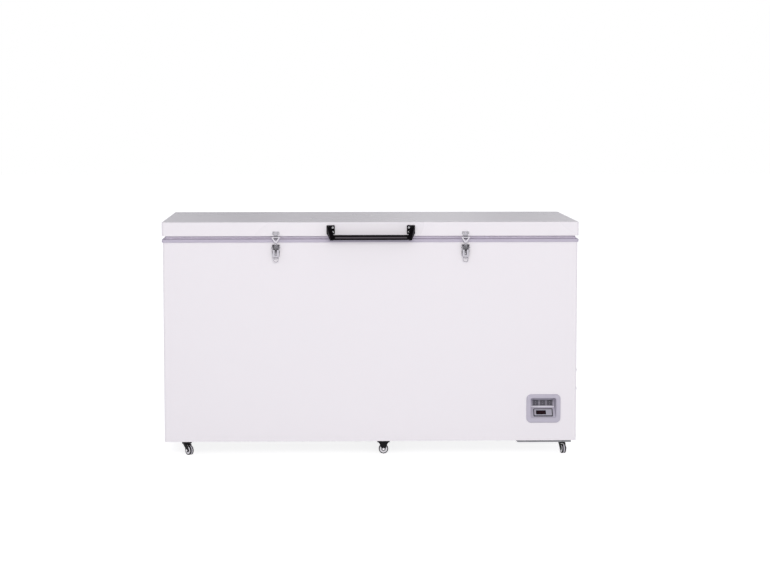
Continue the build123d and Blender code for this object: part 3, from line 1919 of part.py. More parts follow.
def main():
    os.makedirs("parts", exist_ok=True)
    save(make_front_panel(), "front_panel")
    save(make_back_panel(), "back_panel")
    save(end_skin(-1), "left_panel")
    save(make_right_panel(), "right_panel")
    save(make_bottom_plate(), "bottom_plate")
    save(make_foam_insulation(), "foam_insulation")
    save(make_inner_liner(), "inner_liner")
    save(make_top_collar(), "top_collar")
    save(make_lid_shell(), "lid_shell")
    save(make_lid_foam(), "lid_foam")
    save(make_lid_liner(), "lid_liner")
    save(make_lid_gasket(), "lid_gasket")
    save(make_hinge_cabinet_leaves(), "hinge_cabinet_leaves")
    save(make_hinge_lid_leaves(), "hinge_lid_leaves")
    save(make_hinge_pins(), "hinge_pins")
    save(make_handle_bar(), "handle_bar")
    save(make_handle_brackets(), "handle_brackets")
    save(make_lid_screws(), "lid_screws")
    save(make_keepers(), "keepers")
    save(make_latch_bases(), "latch_bases")
    for side, hand in ((-1, "left"), (1, "right")):
        save(make_lever(side), f"latch_lever_{hand}")
        save(make_claw(side), f"latch_claw_{hand}")
        save(make_ring(side), f"latch_ring_{hand}")
    save(make_control_housing(), "control_housing")
    save(make_switch_bodies(), "switch_bodies")
    for index in range(switch_count):
        save(make_rocker(index), f"rocker_{index + 1}")
    save(make_controller_body(), "controller_body")
    save(make_controller_facia(), "controller_facia")
    save(make_controller_window(), "controller_window")
    save(make_castor_plates(), "castor_plates")
    save(make_rigid_castor_forks(), "rigid_castor_forks")
    for name, x, y, heading in swivel_places():
        save(make_fork(x, y, heading), f"castor_fork_{name}")
        save(make_wheel(x, y, heading, castor_trail), f"castor_wheel_{name}")
    for name, x, y, heading in rigid_places():
        save(make_wheel(x, y, heading, 0), f"castor_wheel_{name}")
    save(make_mounting_rails(), "mounting_rails")
    save(make_base_pan(), "base_pan")
    save(make_side_grille(), "side_grille")
    save(make_rear_grille(), "rear_grille")
    save(make_power_inlet(), "power_inlet")
    save(make_compressor(), "compressor")
    save(make_compressor_feet(), "compressor_feet")
    save(make_terminal_box(), "terminal_box")
    save(make_condenser(), "condenser")
    save(make_fan_shroud(), "fan_shroud")
    save(make_fan_motor(), "fan_motor")
    save(make_fan_rotor(), "fan_rotor")
    save(make_filter_drier(), "filter_drier")
    save(make_refrigerant_lines(), "refrigerant_lines")


main()
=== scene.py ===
import json
import math

import bmesh
import bpy
from mathutils import Matrix, Vector

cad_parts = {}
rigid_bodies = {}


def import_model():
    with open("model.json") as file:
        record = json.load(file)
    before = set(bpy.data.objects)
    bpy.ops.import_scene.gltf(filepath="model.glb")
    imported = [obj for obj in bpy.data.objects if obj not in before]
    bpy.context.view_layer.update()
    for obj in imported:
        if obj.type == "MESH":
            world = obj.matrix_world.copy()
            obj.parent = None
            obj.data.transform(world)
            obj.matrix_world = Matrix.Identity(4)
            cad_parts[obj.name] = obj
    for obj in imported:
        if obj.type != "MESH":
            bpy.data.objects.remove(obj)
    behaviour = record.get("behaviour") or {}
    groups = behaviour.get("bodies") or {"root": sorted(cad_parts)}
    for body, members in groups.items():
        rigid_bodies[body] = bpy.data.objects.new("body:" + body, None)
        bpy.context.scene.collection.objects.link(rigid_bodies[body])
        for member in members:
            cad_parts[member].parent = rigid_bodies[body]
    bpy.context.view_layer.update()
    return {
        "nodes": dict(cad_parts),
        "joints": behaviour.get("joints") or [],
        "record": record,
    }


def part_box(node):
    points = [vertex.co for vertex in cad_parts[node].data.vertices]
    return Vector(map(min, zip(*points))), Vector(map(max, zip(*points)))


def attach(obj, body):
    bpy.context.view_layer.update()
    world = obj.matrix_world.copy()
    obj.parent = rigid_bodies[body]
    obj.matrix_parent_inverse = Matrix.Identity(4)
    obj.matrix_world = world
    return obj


# Looks of a low-temperature laboratory chest freezer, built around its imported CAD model.
# Metres, +Z up, front towards -Y.

MM = 0.001

# Camera, fitted to the photograph
CAMERA_PLACE = (-0.17655, -8.2616, 1.4192)
CAMERA_YAW = 0.0295
CAMERA_PITCH = 0.09395
CAMERA_LENS = 93.11
SENSOR = 36.0

# Light: an even surround and one large soft lamp in front and above
SURROUND = 0.6
SURROUND_COLOUR = (0.93, 0.92, 1.0, 1)
BACKGROUND = 1.0
STUDIO_CLUTTER = 9.0
STUDIO_DARK_BELOW = 0.45
STUDIO_BRIGHT_ABOVE = 0.53
STUDIO_DARKEST = 0.03
FRONT_LAMP = 150.0
FRONT_LAMP_SIZE = 4.0
FRONT_LAMP_COLOUR = (1.0, 0.975, 0.955)
FRONT_LAMP_PLACE = (0.2, -6.5, 2.9)
FRONT_LAMP_AIM = (0, -0.3, 0.5)
FLOOR_SIZE = 60.0
FLOOR_COLOUR = 0.88
FLOOR_SEEN = 0.5
FLOOR_LIFT = 0.82

# Directions and sides
FRONTWARD = (0, -1, 0)
BACKWARD = (0, 1, 0)
RIGHTWARD = (1, 0, 0)
UPWARD = (0, 0, 1)
DOWNWARD = (0, 0, -1)
BOTH = (-1, 1)
HANDS = (("left", -1), ("right", 1))

# Edges sharper than this stay sharp in the smooth shading
SHARP_ANGLE = math.radians(32)

# Sides of the small round parts
HEXAGON = 6
HEAD_SIDES = 20
RING_ROUNDS = 6

# Screw heads: shares of the head's height and radius, and the cross of painted shade in it
HEAD_RIM_SHARE = 0.7
CROWN_SHARE = 0.72
HEAD_CROSS_SHARE = 1.15
CROSS_BAR_SHARE = 0.26
CROSS_DEPTH = 0.35 * MM
CROSS_ANGLES = (45, 135)

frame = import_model()
nodes = frame["nodes"]


# Material helpers


def new_material(name):
    """A fresh node material, returned as (material, nodes, links, shader)."""
    material = bpy.data.materials.new(name)
    material.use_nodes = True
    tree = material.node_tree
    shader = tree.nodes["Principled BSDF"]
    return material, tree.nodes, tree.links, shader


def object_coordinates(tree_nodes, links, scale):
    """Object coordinates stretched by scale, as a socket."""
    place = tree_nodes.new("ShaderNodeTexCoord")
    mapping = tree_nodes.new("ShaderNodeMapping")
    mapping.inputs["Scale"].default_value = scale
    links.new(place.outputs["Object"], mapping.inputs["Vector"])
    return mapping.outputs["Vector"]


def noise(tree_nodes, links, scale, detail=2.0, stretch=(1, 1, 1)):
    """A noise texture over the object, as its value socket."""
    texture = tree_nodes.new("ShaderNodeTexNoise")
    texture.inputs["Scale"].default_value = scale
    texture.inputs["Detail"].default_value = detail
    links.new(object_coordinates(tree_nodes, links, stretch), texture.inputs["Vector"])
    return texture.outputs["Fac"]


def spread(tree_nodes, links, value, low, high):
    """A value from 0 to 1 mapped on to low to high."""
    ranged = tree_nodes.new("ShaderNodeMapRange")
    ranged.inputs["To Min"].default_value = low
    ranged.inputs["To Max"].default_value = high
    links.new(value, ranged.inputs["Value"])
    return ranged.outputs["Result"]


def blend_colours(tree_nodes, links, value, first, second):
    """The mix of two colours by a value socket."""
    mix = tree_nodes.new("ShaderNodeMix")
    mix.data_type = "RGBA"
    mix.inputs["A"].default_value = (*first, 1)
    mix.inputs["B"].default_value = (*second, 1)
    links.new(value, mix.inputs["Factor"])
    return mix.outputs["Result"]


def soften_edges(tree_nodes, links, shader, radius, height=None, strength=0.1, distance=0.0002):
    """Rounds sharp edges in the shading, and adds a fine relief where height is given."""
    bevel = tree_nodes.new("ShaderNodeBevel")
    bevel.samples = 4
    bevel.inputs["Radius"].default_value = radius
    normal = bevel.outputs["Normal"]
    if height is not None:
        bump = tree_nodes.new("ShaderNodeBump")
        bump.inputs["Strength"].default_value = strength
        bump.inputs["Distance"].default_value = distance
        links.new(height, bump.inputs["Height"])
        links.new(normal, bump.inputs["Normal"])
        normal = bump.outputs["Normal"]
    links.new(normal, shader.inputs["Normal"])


def paint_shade_in_hollows(tree_nodes, links, colour, reach, dark):
    """A colour socket with painted shade: it falls to a dark tone in hollows and seams within a reach.

    The open share of 0 to 1 is stretched to -1 to 1, so a place that is half open is already dark.
    """
    painted_hollow_shade = tree_nodes.new("ShaderNodeAmbientOcclusion")
    painted_hollow_shade.samples = 6
    painted_hollow_shade.inputs["Distance"].default_value = reach
    mix = tree_nodes.new("ShaderNodeMix")
    mix.data_type = "RGBA"
    mix.inputs["A"].default_value = (*dark, 1)
    links.new(spread(tree_nodes, links, painted_hollow_shade.outputs["AO"], -1.0, 1.0), mix.inputs["Factor"])
    links.new(colour, mix.inputs["B"])
    return mix.outputs["Result"]


def linear(red, green, blue):
    """A colour as seen on screen, 0 to 255, in linear light."""
    channels = [value / 255 for value in (red, green, blue)]
    return tuple(c / 12.92 if c <= 0.04045 else ((c + 0.055) / 1.055) ** 2.4 for c in channels)


def shade(colour, share):
    """A darker tone of a colour."""
    return tuple(c * share for c in colour)


def painted(name, colour, roughness=0.32, edge=0.8 * MM):
    """Baked paint on sheet steel: a faint orange peel and a very faint unevenness of tone."""
    material, tree_nodes, links, shader = new_material(name)
    tone = noise(tree_nodes, links, 1.3)
    mixed = blend_colours(tree_nodes, links, tone, shade(colour, 0.985), colour)
    links.new(mixed, shader.inputs["Base Color"])
    peel = noise(tree_nodes, links, 420.0)
    links.new(spread(tree_nodes, links, tone, roughness - 0.03, roughness + 0.03), shader.inputs["Roughness"])
    soften_edges(tree_nodes, links, shader, edge, peel, 0.12, 0.00012)
    return material


def plastic(name, colour, roughness=0.45, grain=0.1, edge=0.5 * MM, shine=0.5):
    """Moulded plastic with a fine grain."""
    material, tree_nodes, links, shader = new_material(name)
    cloud = noise(tree_nodes, links, 30.0)
    tone = blend_colours(tree_nodes, links, cloud, shade(colour, 0.95), colour)
    links.new(tone, shader.inputs["Base Color"])
    shader.inputs["Specular IOR Level"].default_value = shine
    rough = spread(tree_nodes, links, cloud, roughness - 0.05, roughness + 0.05)
    links.new(rough, shader.inputs["Roughness"])
    soften_edges(tree_nodes, links, shader, edge, noise(tree_nodes, links, 900.0), grain, 0.0002)
    return material


def metal(name, colour, roughness=0.2, stretch=(1, 1, 1), scale=300.0, relief=0.03, painted_hollow_shade=0.0):
    """Bare or plated metal, brushed along the axis with the small stretch, with painted shade in its hollows.
    """
    material, tree_nodes, links, shader = new_material(name)
    grain = noise(tree_nodes, links, scale, 4.0, stretch)
    tone = blend_colours(tree_nodes, links, grain, shade(colour, 0.9), colour)
    # painted shade: hollows and seams darkened by ambient occlusion
    if painted_hollow_shade:
        tone = paint_shade_in_hollows(tree_nodes, links, tone, painted_hollow_shade, shade(colour, 0.06))
    links.new(tone, shader.inputs["Base Color"])
    links.new(
        spread(tree_nodes, links, grain, max(roughness - 0.06, 0.03), roughness + 0.08),
        shader.inputs["Roughness"],
    )
    shader.inputs["Metallic"].default_value = 1.0
    soften_edges(tree_nodes, links, shader, 0.3 * MM, grain, relief, 0.0001)
    return material


def zinc_sheet(name):
    """Galvanised sheet with its spangle."""
    material, tree_nodes, links, shader = new_material(name)
    cells = tree_nodes.new("ShaderNodeTexVoronoi")
    cells.inputs["Scale"].default_value = 90.0
    links.new(object_coordinates(tree_nodes, links, (1, 1, 1)), cells.inputs["Vector"])
    grey = tree_nodes.new("ShaderNodeRGBToBW")
    links.new(cells.outputs["Color"], grey.inputs["Color"])
    links.new(
        blend_colours(tree_nodes, links, grey.outputs["Val"], (0.2, 0.2, 0.215), (0.32, 0.325, 0.34)),
        shader.inputs["Base Color"],
    )
    links.new(spread(tree_nodes, links, grey.outputs["Val"], 0.35, 0.5), shader.inputs["Roughness"])
    shader.inputs["Metallic"].default_value = 0.85
    soften_edges(tree_nodes, links, shader, 0.4 * MM)
    return material


def stucco_aluminium(name):
    """Embossed aluminium sheet of the tank's lining."""
    material, tree_nodes, links, shader = new_material(name)
    shader.inputs["Base Color"].default_value = (0.66, 0.67, 0.69, 1)
    shader.inputs["Metallic"].default_value = 0.9
    shader.inputs["Roughness"].default_value = 0.42
    dimples = tree_nodes.new("ShaderNodeTexVoronoi")
    dimples.feature = "SMOOTH_F1"
    dimples.inputs["Scale"].default_value = 260.0
    links.new(object_coordinates(tree_nodes, links, (1, 1, 1)), dimples.inputs["Vector"])
    soften_edges(tree_nodes, links, shader, 1.0 * MM, dimples.outputs["Distance"], 0.5, 0.0008)
    return material


def soft_rubber(name, colour, roughness=0.6):
    """Dull rubber with a slightly dusty tone."""
    material, tree_nodes, links, shader = new_material(name)
    dust = noise(tree_nodes, links, 60.0, 6.0)
    links.new(
        blend_colours(tree_nodes, links, dust, colour, tuple(c * 1.25 + 0.004 for c in colour)),
        shader.inputs["Base Color"],
    )
    links.new(spread(tree_nodes, links, dust, roughness - 0.08, roughness + 0.1), shader.inputs["Roughness"])
    soften_edges(tree_nodes, links, shader, 0.6 * MM, dust, 0.1, 0.0002)
    return material


def rigid_foam(name):
    """Poured polyurethane foam with its open-cell surface."""
    material, tree_nodes, links, shader = new_material(name)
    cells = noise(tree_nodes, links, 180.0, 8.0)
    links.new(
        blend_colours(tree_nodes, links, cells, (0.62, 0.5, 0.26), (0.8, 0.7, 0.44)),
        shader.inputs["Base Color"],
    )
    shader.inputs["Roughness"].default_value = 0.9
    soften_edges(tree_nodes, links, shader, 1.0 * MM, cells, 0.6, 0.001)
    return material


def painted_black(name, colour, roughness=0.4):
    """Dark stoved enamel on small pressings, a little dusty."""
    material, tree_nodes, links, shader = new_material(name)
    dust = noise(tree_nodes, links, 120.0, 5.0)
    pale = tuple(c * 1.6 + 0.003 for c in colour)
    links.new(blend_colours(tree_nodes, links, dust, colour, pale), shader.inputs["Base Color"])
    links.new(spread(tree_nodes, links, dust, roughness - 0.08, roughness + 0.1), shader.inputs["Roughness"])
    shader.inputs["Specular IOR Level"].default_value = 0.2
    soften_edges(tree_nodes, links, shader, 0.4 * MM, dust, 0.08, 0.00015)
    return material


def segment_light(name, colour, strength):
    """Faintly lit display segments and lamps."""
    material, tree_nodes, links, shader = new_material(name)
    uneven = noise(tree_nodes, links, 400.0)
    links.new(
        blend_colours(tree_nodes, links, uneven, shade(colour, 0.8), colour), shader.inputs["Base Color"]
    )
    shader.inputs["Emission Color"].default_value = (*colour, 1)
    shader.inputs["Emission Strength"].default_value = strength
    shader.inputs["Roughness"].default_value = 0.3
    return material


materials = {
    "painted_steel": painted("white_paint", linear(247, 244, 246)),
    "lid_steel": painted("lid_paint", linear(247, 244, 246), 0.28),
    "zinc_sheet": zinc_sheet("galvanised"),
    "foam": rigid_foam("foam"),
    "liner_aluminium": stucco_aluminium("stucco_aluminium"),
    "collar_plastic": plastic("collar_plastic", linear(200, 194, 208), 0.5, 0.05, shine=0.25),
    "lid_liner_plastic": plastic("lid_liner_plastic", linear(238, 238, 240), 0.35, 0.05),
    "gasket": soft_rubber("gasket_rubber", linear(205, 198, 210), 0.6),
    # painted shade in the hollows of chrome and latch chrome
    "chrome": metal("chrome", (0.9, 0.89, 0.91), 0.14, painted_hollow_shade=4 * MM),
    "latch_chrome": metal("latch_chrome", (0.58, 0.56, 0.6), 0.08, (1, 1, 0.15), 500.0, painted_hollow_shade=12 * MM),
    "handle_dark": plastic("handle_plastic", linear(10, 7, 10), 0.5, 0.12, 0.6 * MM, shine=0.05),
    "bracket_dark": plastic("bracket_plastic", linear(8, 5, 9), 0.5, 0.14, 0.6 * MM, shine=0.05),
    "panel_grey": plastic("panel_plastic", linear(198, 194, 206), 0.5, 0.06, 0.6 * MM, shine=0.25),
    "switch_black": plastic("switch_plastic", linear(20, 19, 24), 0.45, 0.06, shine=0.1),
    "rocker_grey": plastic("rocker_plastic", linear(104, 102, 110), 0.4, 0.04, shine=0.25),
    "facia_grey": plastic("facia_film", linear(186, 184, 194), 0.4, 0.05, 0.3 * MM, shine=0.25),
    "window_dark": plastic("window_plastic", linear(14, 12, 22), 0.1, 0.0, 0.3 * MM, shine=0.2),
    "castor_black": painted_black("castor_enamel", linear(8, 6, 9), 0.55),
    # painted shade in the hollows of the plated steel
    "castor_steel": metal("zinc_plated", (0.42, 0.42, 0.44), 0.3, painted_hollow_shade=4 * MM),
    "wheel_rubber": soft_rubber("tyre_rubber", linear(16, 14, 18), 0.75),
    "grille_white": plastic("grille_plastic", linear(232, 230, 234), 0.42, 0.06),
    "compressor_black": painted_black("compressor_enamel", linear(26, 26, 28), 0.35),
    "grommet": soft_rubber("grommet_rubber", linear(40, 40, 42), 0.7),
    "fan_metal": metal("fan_aluminium", (0.6, 0.61, 0.63), 0.35),
    "copper": metal("copper", (0.72, 0.36, 0.22), 0.25, (1, 1, 1), 80.0),
}
plate_dark = painted_black("castor_plate", linear(24, 22, 26), 0.5)
switch_frame = plastic("switch_frame", linear(136, 134, 142), 0.45, 0.05, shine=0.2)
own_materials = {"castor_plates": plate_dark, "switch_bodies": switch_frame}
ink = plastic("ink", linear(52, 52, 60), 0.5, 0.0, 0.1 * MM)
# painted shade in the hollows of the thread
thread_metal = metal("thread_metal", (0.3, 0.3, 0.32), 0.3, painted_hollow_shade=2 * MM)
# dark paint for painted shade in screw cross recesses and drain slots
recess_shade_paint = plastic("recess_shade_paint", linear(18, 17, 20), 0.6, 0.0, 0.2 * MM, shine=0.1)
disc_plastic = plastic("castor_disc", linear(244, 243, 246), 0.4, 0.05)
# a pale band round the tread of the dark tyre
pale_tread_rubber = soft_rubber("pale_tread", linear(200, 198, 204), 0.7)
# paint for the painted highlights on the handle
handle_highlight_grey = plastic("bar_highlight", linear(80, 75, 80), 0.5, 0.1, 0.3 * MM, shine=0.25)
# paint for the ledge's painted highlight
ledge_highlight_paint = plastic("ledge_highlight", linear(240, 238, 244), 0.35, 0.03, 0.4 * MM)
mark_white = plastic("mark_white", linear(226, 226, 230), 0.5, 0.0, 0.1 * MM)
dim_segment = segment_light("dim_segment", (0.09, 0.02, 0.02), 0.0)
lamp_red = segment_light("lamp_red", (0.45, 0.03, 0.03), 0.2)


def dress_frame():
    """Gives every CAD node the material of its record slot, smooth shaded over round parts."""
    slots = {part["node"]: part["material_slot"] for part in frame["record"]["subparts"]}
    for name, obj in nodes.items():
        obj.data.materials.clear()
        obj.data.materials.append(own_materials.get(name, materials[slots[name]]))
        obj.data.shade_smooth()
        obj.data.set_sharp_from_angle(angle=SHARP_ANGLE)


# Piece helpers


def along(axis):
    """Rotation that turns +Z on to an axis."""
    return Vector(axis).to_track_quat("Z", "Y").to_matrix().to_4x4()


def add_rod(mesh, centre, axis, radius, length, segments=24, far_radius=None):
    """A cylinder or cone about its centre."""
    bmesh.ops.create_cone(
        mesh,
        cap_ends=True,
        segments=segments,
        radius1=radius,
        radius2=radius if far_radius is None else far_radius,
        depth=length,
        matrix=Matrix.Translation(centre) @ along(axis),
    )


def add_box(mesh, low, high):
    """A block between two corners."""
    low, high = Vector(low), Vector(high)
    place = Matrix.Translation((low + high) / 2)
    bmesh.ops.create_cube(mesh, size=1.0, matrix=place @ Matrix.Diagonal((*(high - low), 1)))


def add_turned(mesh, centre, axis, section, segments=32):
    """A closed section of (radius, height) points turned about an axis."""
    turn = Matrix.Translation(centre) @ along(axis)
    loops = []
    for step in range(segments):
        angle = 2 * math.pi * step / segments
        points = [Vector((r * math.cos(angle), r * math.sin(angle), h)) for r, h in section]
        loops.append([mesh.verts.new(turn @ point) for point in points])
    count = len(section)
    for step in range(segments):
        here, there = loops[step], loops[(step + 1) % segments]
        for part in range(count):
            after = (part + 1) % count
            mesh.faces.new((here[part], there[part], there[after], here[after]))


def add_ring(mesh, centre, axis, radius, wire, segments=32, rounds=8):
    """A torus about its centre."""
    section = []
    for part in range(rounds):
        tilt = 2 * math.pi * part / rounds
        section.append((radius + wire * math.cos(tilt), wire * math.sin(tilt)))
    add_turned(mesh, centre, axis, section, segments)


def add_band(mesh, centre, axis, inner, outer, width, segments=48):
    """A flat hoop with a square section."""
    half = width / 2
    section = ((inner, -half), (outer, -half), (outer, half), (inner, half))
    add_turned(mesh, centre, axis, section, segments)


def place_piece(name, mesh, body, slot, material=None):
    """Turns a bmesh into a smooth-shaded piece that rides on a body."""
    bmesh.ops.recalc_face_normals(mesh, faces=mesh.faces)
    data = bpy.data.meshes.new(name)
    mesh.to_mesh(data)
    mesh.free()
    data.shade_smooth()
    data.set_sharp_from_angle(angle=SHARP_ANGLE)
    data.materials.append(material or materials[slot])
    obj = bpy.data.objects.new(name, data)
    bpy.context.scene.collection.objects.link(obj)
    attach(obj, body)


def place_tube(name, points, radius, body, slot, material=None):
    """A round wire or pipe through points, smoothed at its corners and kept as a mesh."""
    curve = bpy.data.curves.new(name + "_path", "CURVE")
    curve.dimensions = "3D"
    curve.bevel_depth = radius
    curve.bevel_resolution = 3
    curve.resolution_u = 6
    curve.use_fill_caps = True
    spline = curve.splines.new("BEZIER")
    spline.bezier_points.add(len(points) - 1)
    for knot, point in zip(spline.bezier_points, points):
        knot.co = point
        knot.handle_left_type = "AUTO"
        knot.handle_right_type = "AUTO"
    path = bpy.data.objects.new(name + "_path", curve)
    bpy.context.scene.collection.objects.link(path)
    data = bpy.data.meshes.new_from_object(path.evaluated_get(bpy.context.evaluated_depsgraph_get()))
    bpy.data.objects.remove(path)
    bpy.data.curves.remove(curve)
    data.name = name
    data.shade_smooth()
    data.materials.clear()
    data.materials.append(material or materials[slot])
    obj = bpy.data.objects.new(name, data)
    bpy.context.scene.collection.objects.link(obj)
    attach(obj, body)


def middle(node):
    """The middle of a node's box."""
    low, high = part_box(node)
    return (low + high) / 2


def joint_called(name):
    """The joint with a name."""
    return next(joint for joint in frame["joints"] if joint["name"] == name)


# Details


def cross_recess(mesh, centre, out, size):
    """Painted shade of the cross recess in a screw's head, a thin pair of dark bars on a face that looks
    along out.
    """
    turn = along(out)
    shape = Matrix.Diagonal((size, size * CROSS_BAR_SHARE, CROSS_DEPTH, 1))
    for part in CROSS_ANGLES:
        bar = Matrix.Translation(centre) @ turn @ Matrix.Rotation(math.radians(part), 4, "Z")
        bmesh.ops.create_cube(mesh, size=1.0, matrix=bar @ shape)


def screws(name, places, out, radius, body, slot="chrome", depth=1.2 * MM):
    """Pan-head screws on faces that look along out, and the painted shade of their cross recesses."""
    out = Vector(out)
    rim = depth * HEAD_RIM_SHARE
    crown = depth - rim
    heads = bmesh.new()
    # painted shade of the cross recesses
    cross_shades = bmesh.new()
    for place in places:
        place = Vector(place)
        add_rod(heads, place + out * rim / 2, out, radius, rim, HEAD_SIDES)
        add_rod(heads, place + out * (rim + crown / 2), out, radius, crown, HEAD_SIDES, radius * CROWN_SHARE)
        cross_recess(cross_shades, place + out * depth, out, radius * HEAD_CROSS_SHARE)
    place_piece(name, heads, body, slot)
    place_piece(name + "_recess_shade", cross_shades, body, slot, recess_shade_paint)


def recess_only(name, places, size):
    """Painted shade of the cross recesses on screw heads of the lid's front that the CAD already has."""
    mesh = bmesh.new()
    for place in places:
        cross_recess(mesh, Vector(place), FRONTWARD, size)
    place_piece(name, mesh, "lid", "chrome", recess_shade_paint)


def castor_details():
    """Pale discs, pale tread bands and plated axle nuts, placed by the wheels' joints."""
    disc_out, disc_sheet = 6.4 * MM, 3 * MM
    disc_inner, disc_outer = 0.44, 0.8
    nut_out, nut_radius, nut_height = 12.3 * MM, 5.3 * MM, 2.6 * MM
    bolt_past_nut, bolt_radius, bolt_end, bolt_sides = 1.9 * MM, 3 * MM, 1.4 * MM, 16
    tread_inner, tread_outer, tread_width = 0.96, 1.004, 5 * MM
    for joint in frame["joints"]:
        wheel = joint["child"]
        if not wheel.startswith("castor_wheel_"):
            continue
        centre = Vector(joint["pos_m"])
        axle = Vector(joint["axis"]).normalized()
        radius = centre.z
        discs = bmesh.new()
        nuts = bmesh.new()
        for side in BOTH:
            face = centre + axle * side * disc_out
            nut = centre + axle * side * nut_out
            bolt = centre + axle * side * (nut_out + bolt_past_nut)
            add_band(discs, face, axle, radius * disc_inner, radius * disc_outer, disc_sheet)
            add_rod(nuts, nut, axle, nut_radius, nut_height, HEXAGON)
            add_rod(nuts, bolt, axle, bolt_radius, bolt_end, bolt_sides)
        place_piece(wheel + "_discs", discs, wheel, "castor_steel", disc_plastic)
        place_piece(wheel + "_axle_nuts", nuts, joint["parent"], "castor_steel", materials["chrome"])
        band = bmesh.new()
        add_band(band, centre, axle, radius * tread_inner, radius * tread_outer, tread_width)
        place_piece(wheel + "_tread", band, wheel, "wheel_rubber", pale_tread_rubber)


def castor_screws():
    """Hexagon screws in the castors' plates, which lie along Y at the left and along X elsewhere."""
    plate_sheet = 2.5 * MM
    hole_near, hole_far = 14 * MM, 20 * MM
    head_radius, head_height = 2.6 * MM, 1.6 * MM
    heads = bmesh.new()
    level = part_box("mounting_rails")[0].z - plate_sheet - head_height / 2
    for joint in frame["joints"]:
        name = joint["name"]
        if not (name.startswith("swivel_") or name.startswith("wheel_") and name.endswith("_middle")):
            continue
        x, y, _ = joint["pos_m"]
        turned = name.endswith("_left")
        reach_x = hole_near if turned else hole_far
        reach_y = hole_far if turned else hole_near
        for a in BOTH:
            for b in BOTH:
                place = (x + a * reach_x, y + b * reach_y, level)
                add_rod(heads, place, UPWARD, head_radius, head_height, HEXAGON)
    place_piece("castor_screws", heads, "cabinet", "castor_steel")


def snapped(node, point):
    """The nearest point on a node's surface."""
    obj = nodes[node]
    _, near, _, _ = obj.closest_point_on_mesh(obj.matrix_world.inverted() @ Vector(point))
    return obj.matrix_world @ near


def handle_details():
    """Painted highlights: a paler strip along the bar and pale lines down the brackets' edges."""
    strip_from_end, strip_proud, strip_sunk = 13 * MM, 0.4 * MM, MM
    strip_down, strip_up, strip_round = 3.4 * MM, 2.6 * MM, 0.35 * MM
    low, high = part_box("handle_bar")
    level = (low.z + high.z) / 2
    # painted highlight along the front of the bar
    strip = bmesh.new()
    add_box(
        strip,
        (low.x + strip_from_end, low.y - strip_proud, level - strip_down),
        (high.x - strip_from_end, low.y + strip_sunk, level + strip_up),
    )
    bmesh.ops.bevel(strip, geom=strip.edges[:], offset=strip_round, segments=2, affect="EDGES")
    place_piece("handle_bar_highlight", strip, "lid", "handle_dark", handle_highlight_grey)
    # painted highlights down the brackets' outer edges
    edge_route = ((175, -372, 925), (171.5, -389, 905), (163, -411, 884), (161.5, -413.3, 872))
    for hand, side in HANDS:
        line = [snapped("handle_brackets", (side * x * MM, y * MM, z * MM)) for x, y, z in edge_route]
        place_tube(f"handle_trim_{hand}", line, 0.8 * MM, "lid", "bracket_dark", handle_highlight_grey)


def lid_screw_recess_shade():
    """Painted shade of the crosses in the heads of the screws that hold the brackets and the keepers."""
    bracket_screw_x, bracket_screw_z, bracket_screw_step = 151 * MM, 910 * MM, 9 * MM
    keeper_screw_step, keeper_screw_down, keeper_screw_out = 8 * MM, 6.5 * MM, 3.3 * MM
    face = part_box("lid_screws")[0].y
    places = []
    for side in BOTH:
        for up in BOTH:
            places.append((side * bracket_screw_x, face, bracket_screw_z + up * bracket_screw_step))
    recess_only("handle_screw_recess_shade", places, 4.4 * MM)
    keeper_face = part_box("lid_shell")[0].y - keeper_screw_out
    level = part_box("keepers")[1].z - keeper_screw_down
    places = []
    for hand, _ in HANDS:
        keeper_x = joint_called("lever_" + hand)["pos_m"][0]
        for side in BOTH:
            places.append((keeper_x + side * keeper_screw_step, keeper_face, level))
    recess_only("keeper_screw_recess_shade", places, 3.6 * MM)


def latch_details():
    """Base screws, rivet heads and the rod's screw thread."""
    rod_from_front = 1.5 * MM
    thread_start, thread_pitch, thread_turns = 8 * MM, 1.25 * MM, 16
    thread_radius, thread_wire = 1.95 * MM, 0.32 * MM
    rivet_out, rivet_radius, rivet_top, rivet_height = 16.6 * MM, 3 * MM, 2 * MM, 1.4 * MM
    screw_step, screw_down, base_sheet = 8 * MM, 4 * MM, 1.5 * MM
    screw_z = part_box("latch_bases")[1].z - screw_down
    screw_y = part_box("front_panel")[0].y - base_sheet
    for hand, _ in HANDS:
        low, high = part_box("latch_claw_" + hand)
        pivot = Vector(joint_called("claw_" + hand)["pos_m"])
        lean = Vector((0, low.y + rod_from_front - pivot.y, high.z - pivot.z)).normalized()
        thread = bmesh.new()
        for turn in range(thread_turns):
            centre = pivot + lean * (thread_start + turn * thread_pitch)
            add_ring(thread, centre, lean, thread_radius, thread_wire, HEAD_SIDES, RING_ROUNDS)
        place_piece(f"latch_{hand}_thread", thread, "latch_claw_" + hand, "latch_chrome", thread_metal)
        rivets = bmesh.new()
        lever = Vector(joint_called("lever_" + hand)["pos_m"])
        for end in BOTH:
            centre = lever + Vector((end * rivet_out, 0, 0))
            add_rod(rivets, centre, (end, 0, 0), rivet_radius, rivet_height, HEAD_SIDES, rivet_top)
        place_piece(f"latch_{hand}_rivets", rivets, "cabinet", "latch_chrome")
        places = [(pivot.x + side * screw_step, screw_y, screw_z) for side in BOTH]
        screws(f"latch_{hand}_screws", places, FRONTWARD, 2.3 * MM, "cabinet", "latch_chrome", 1.0 * MM)


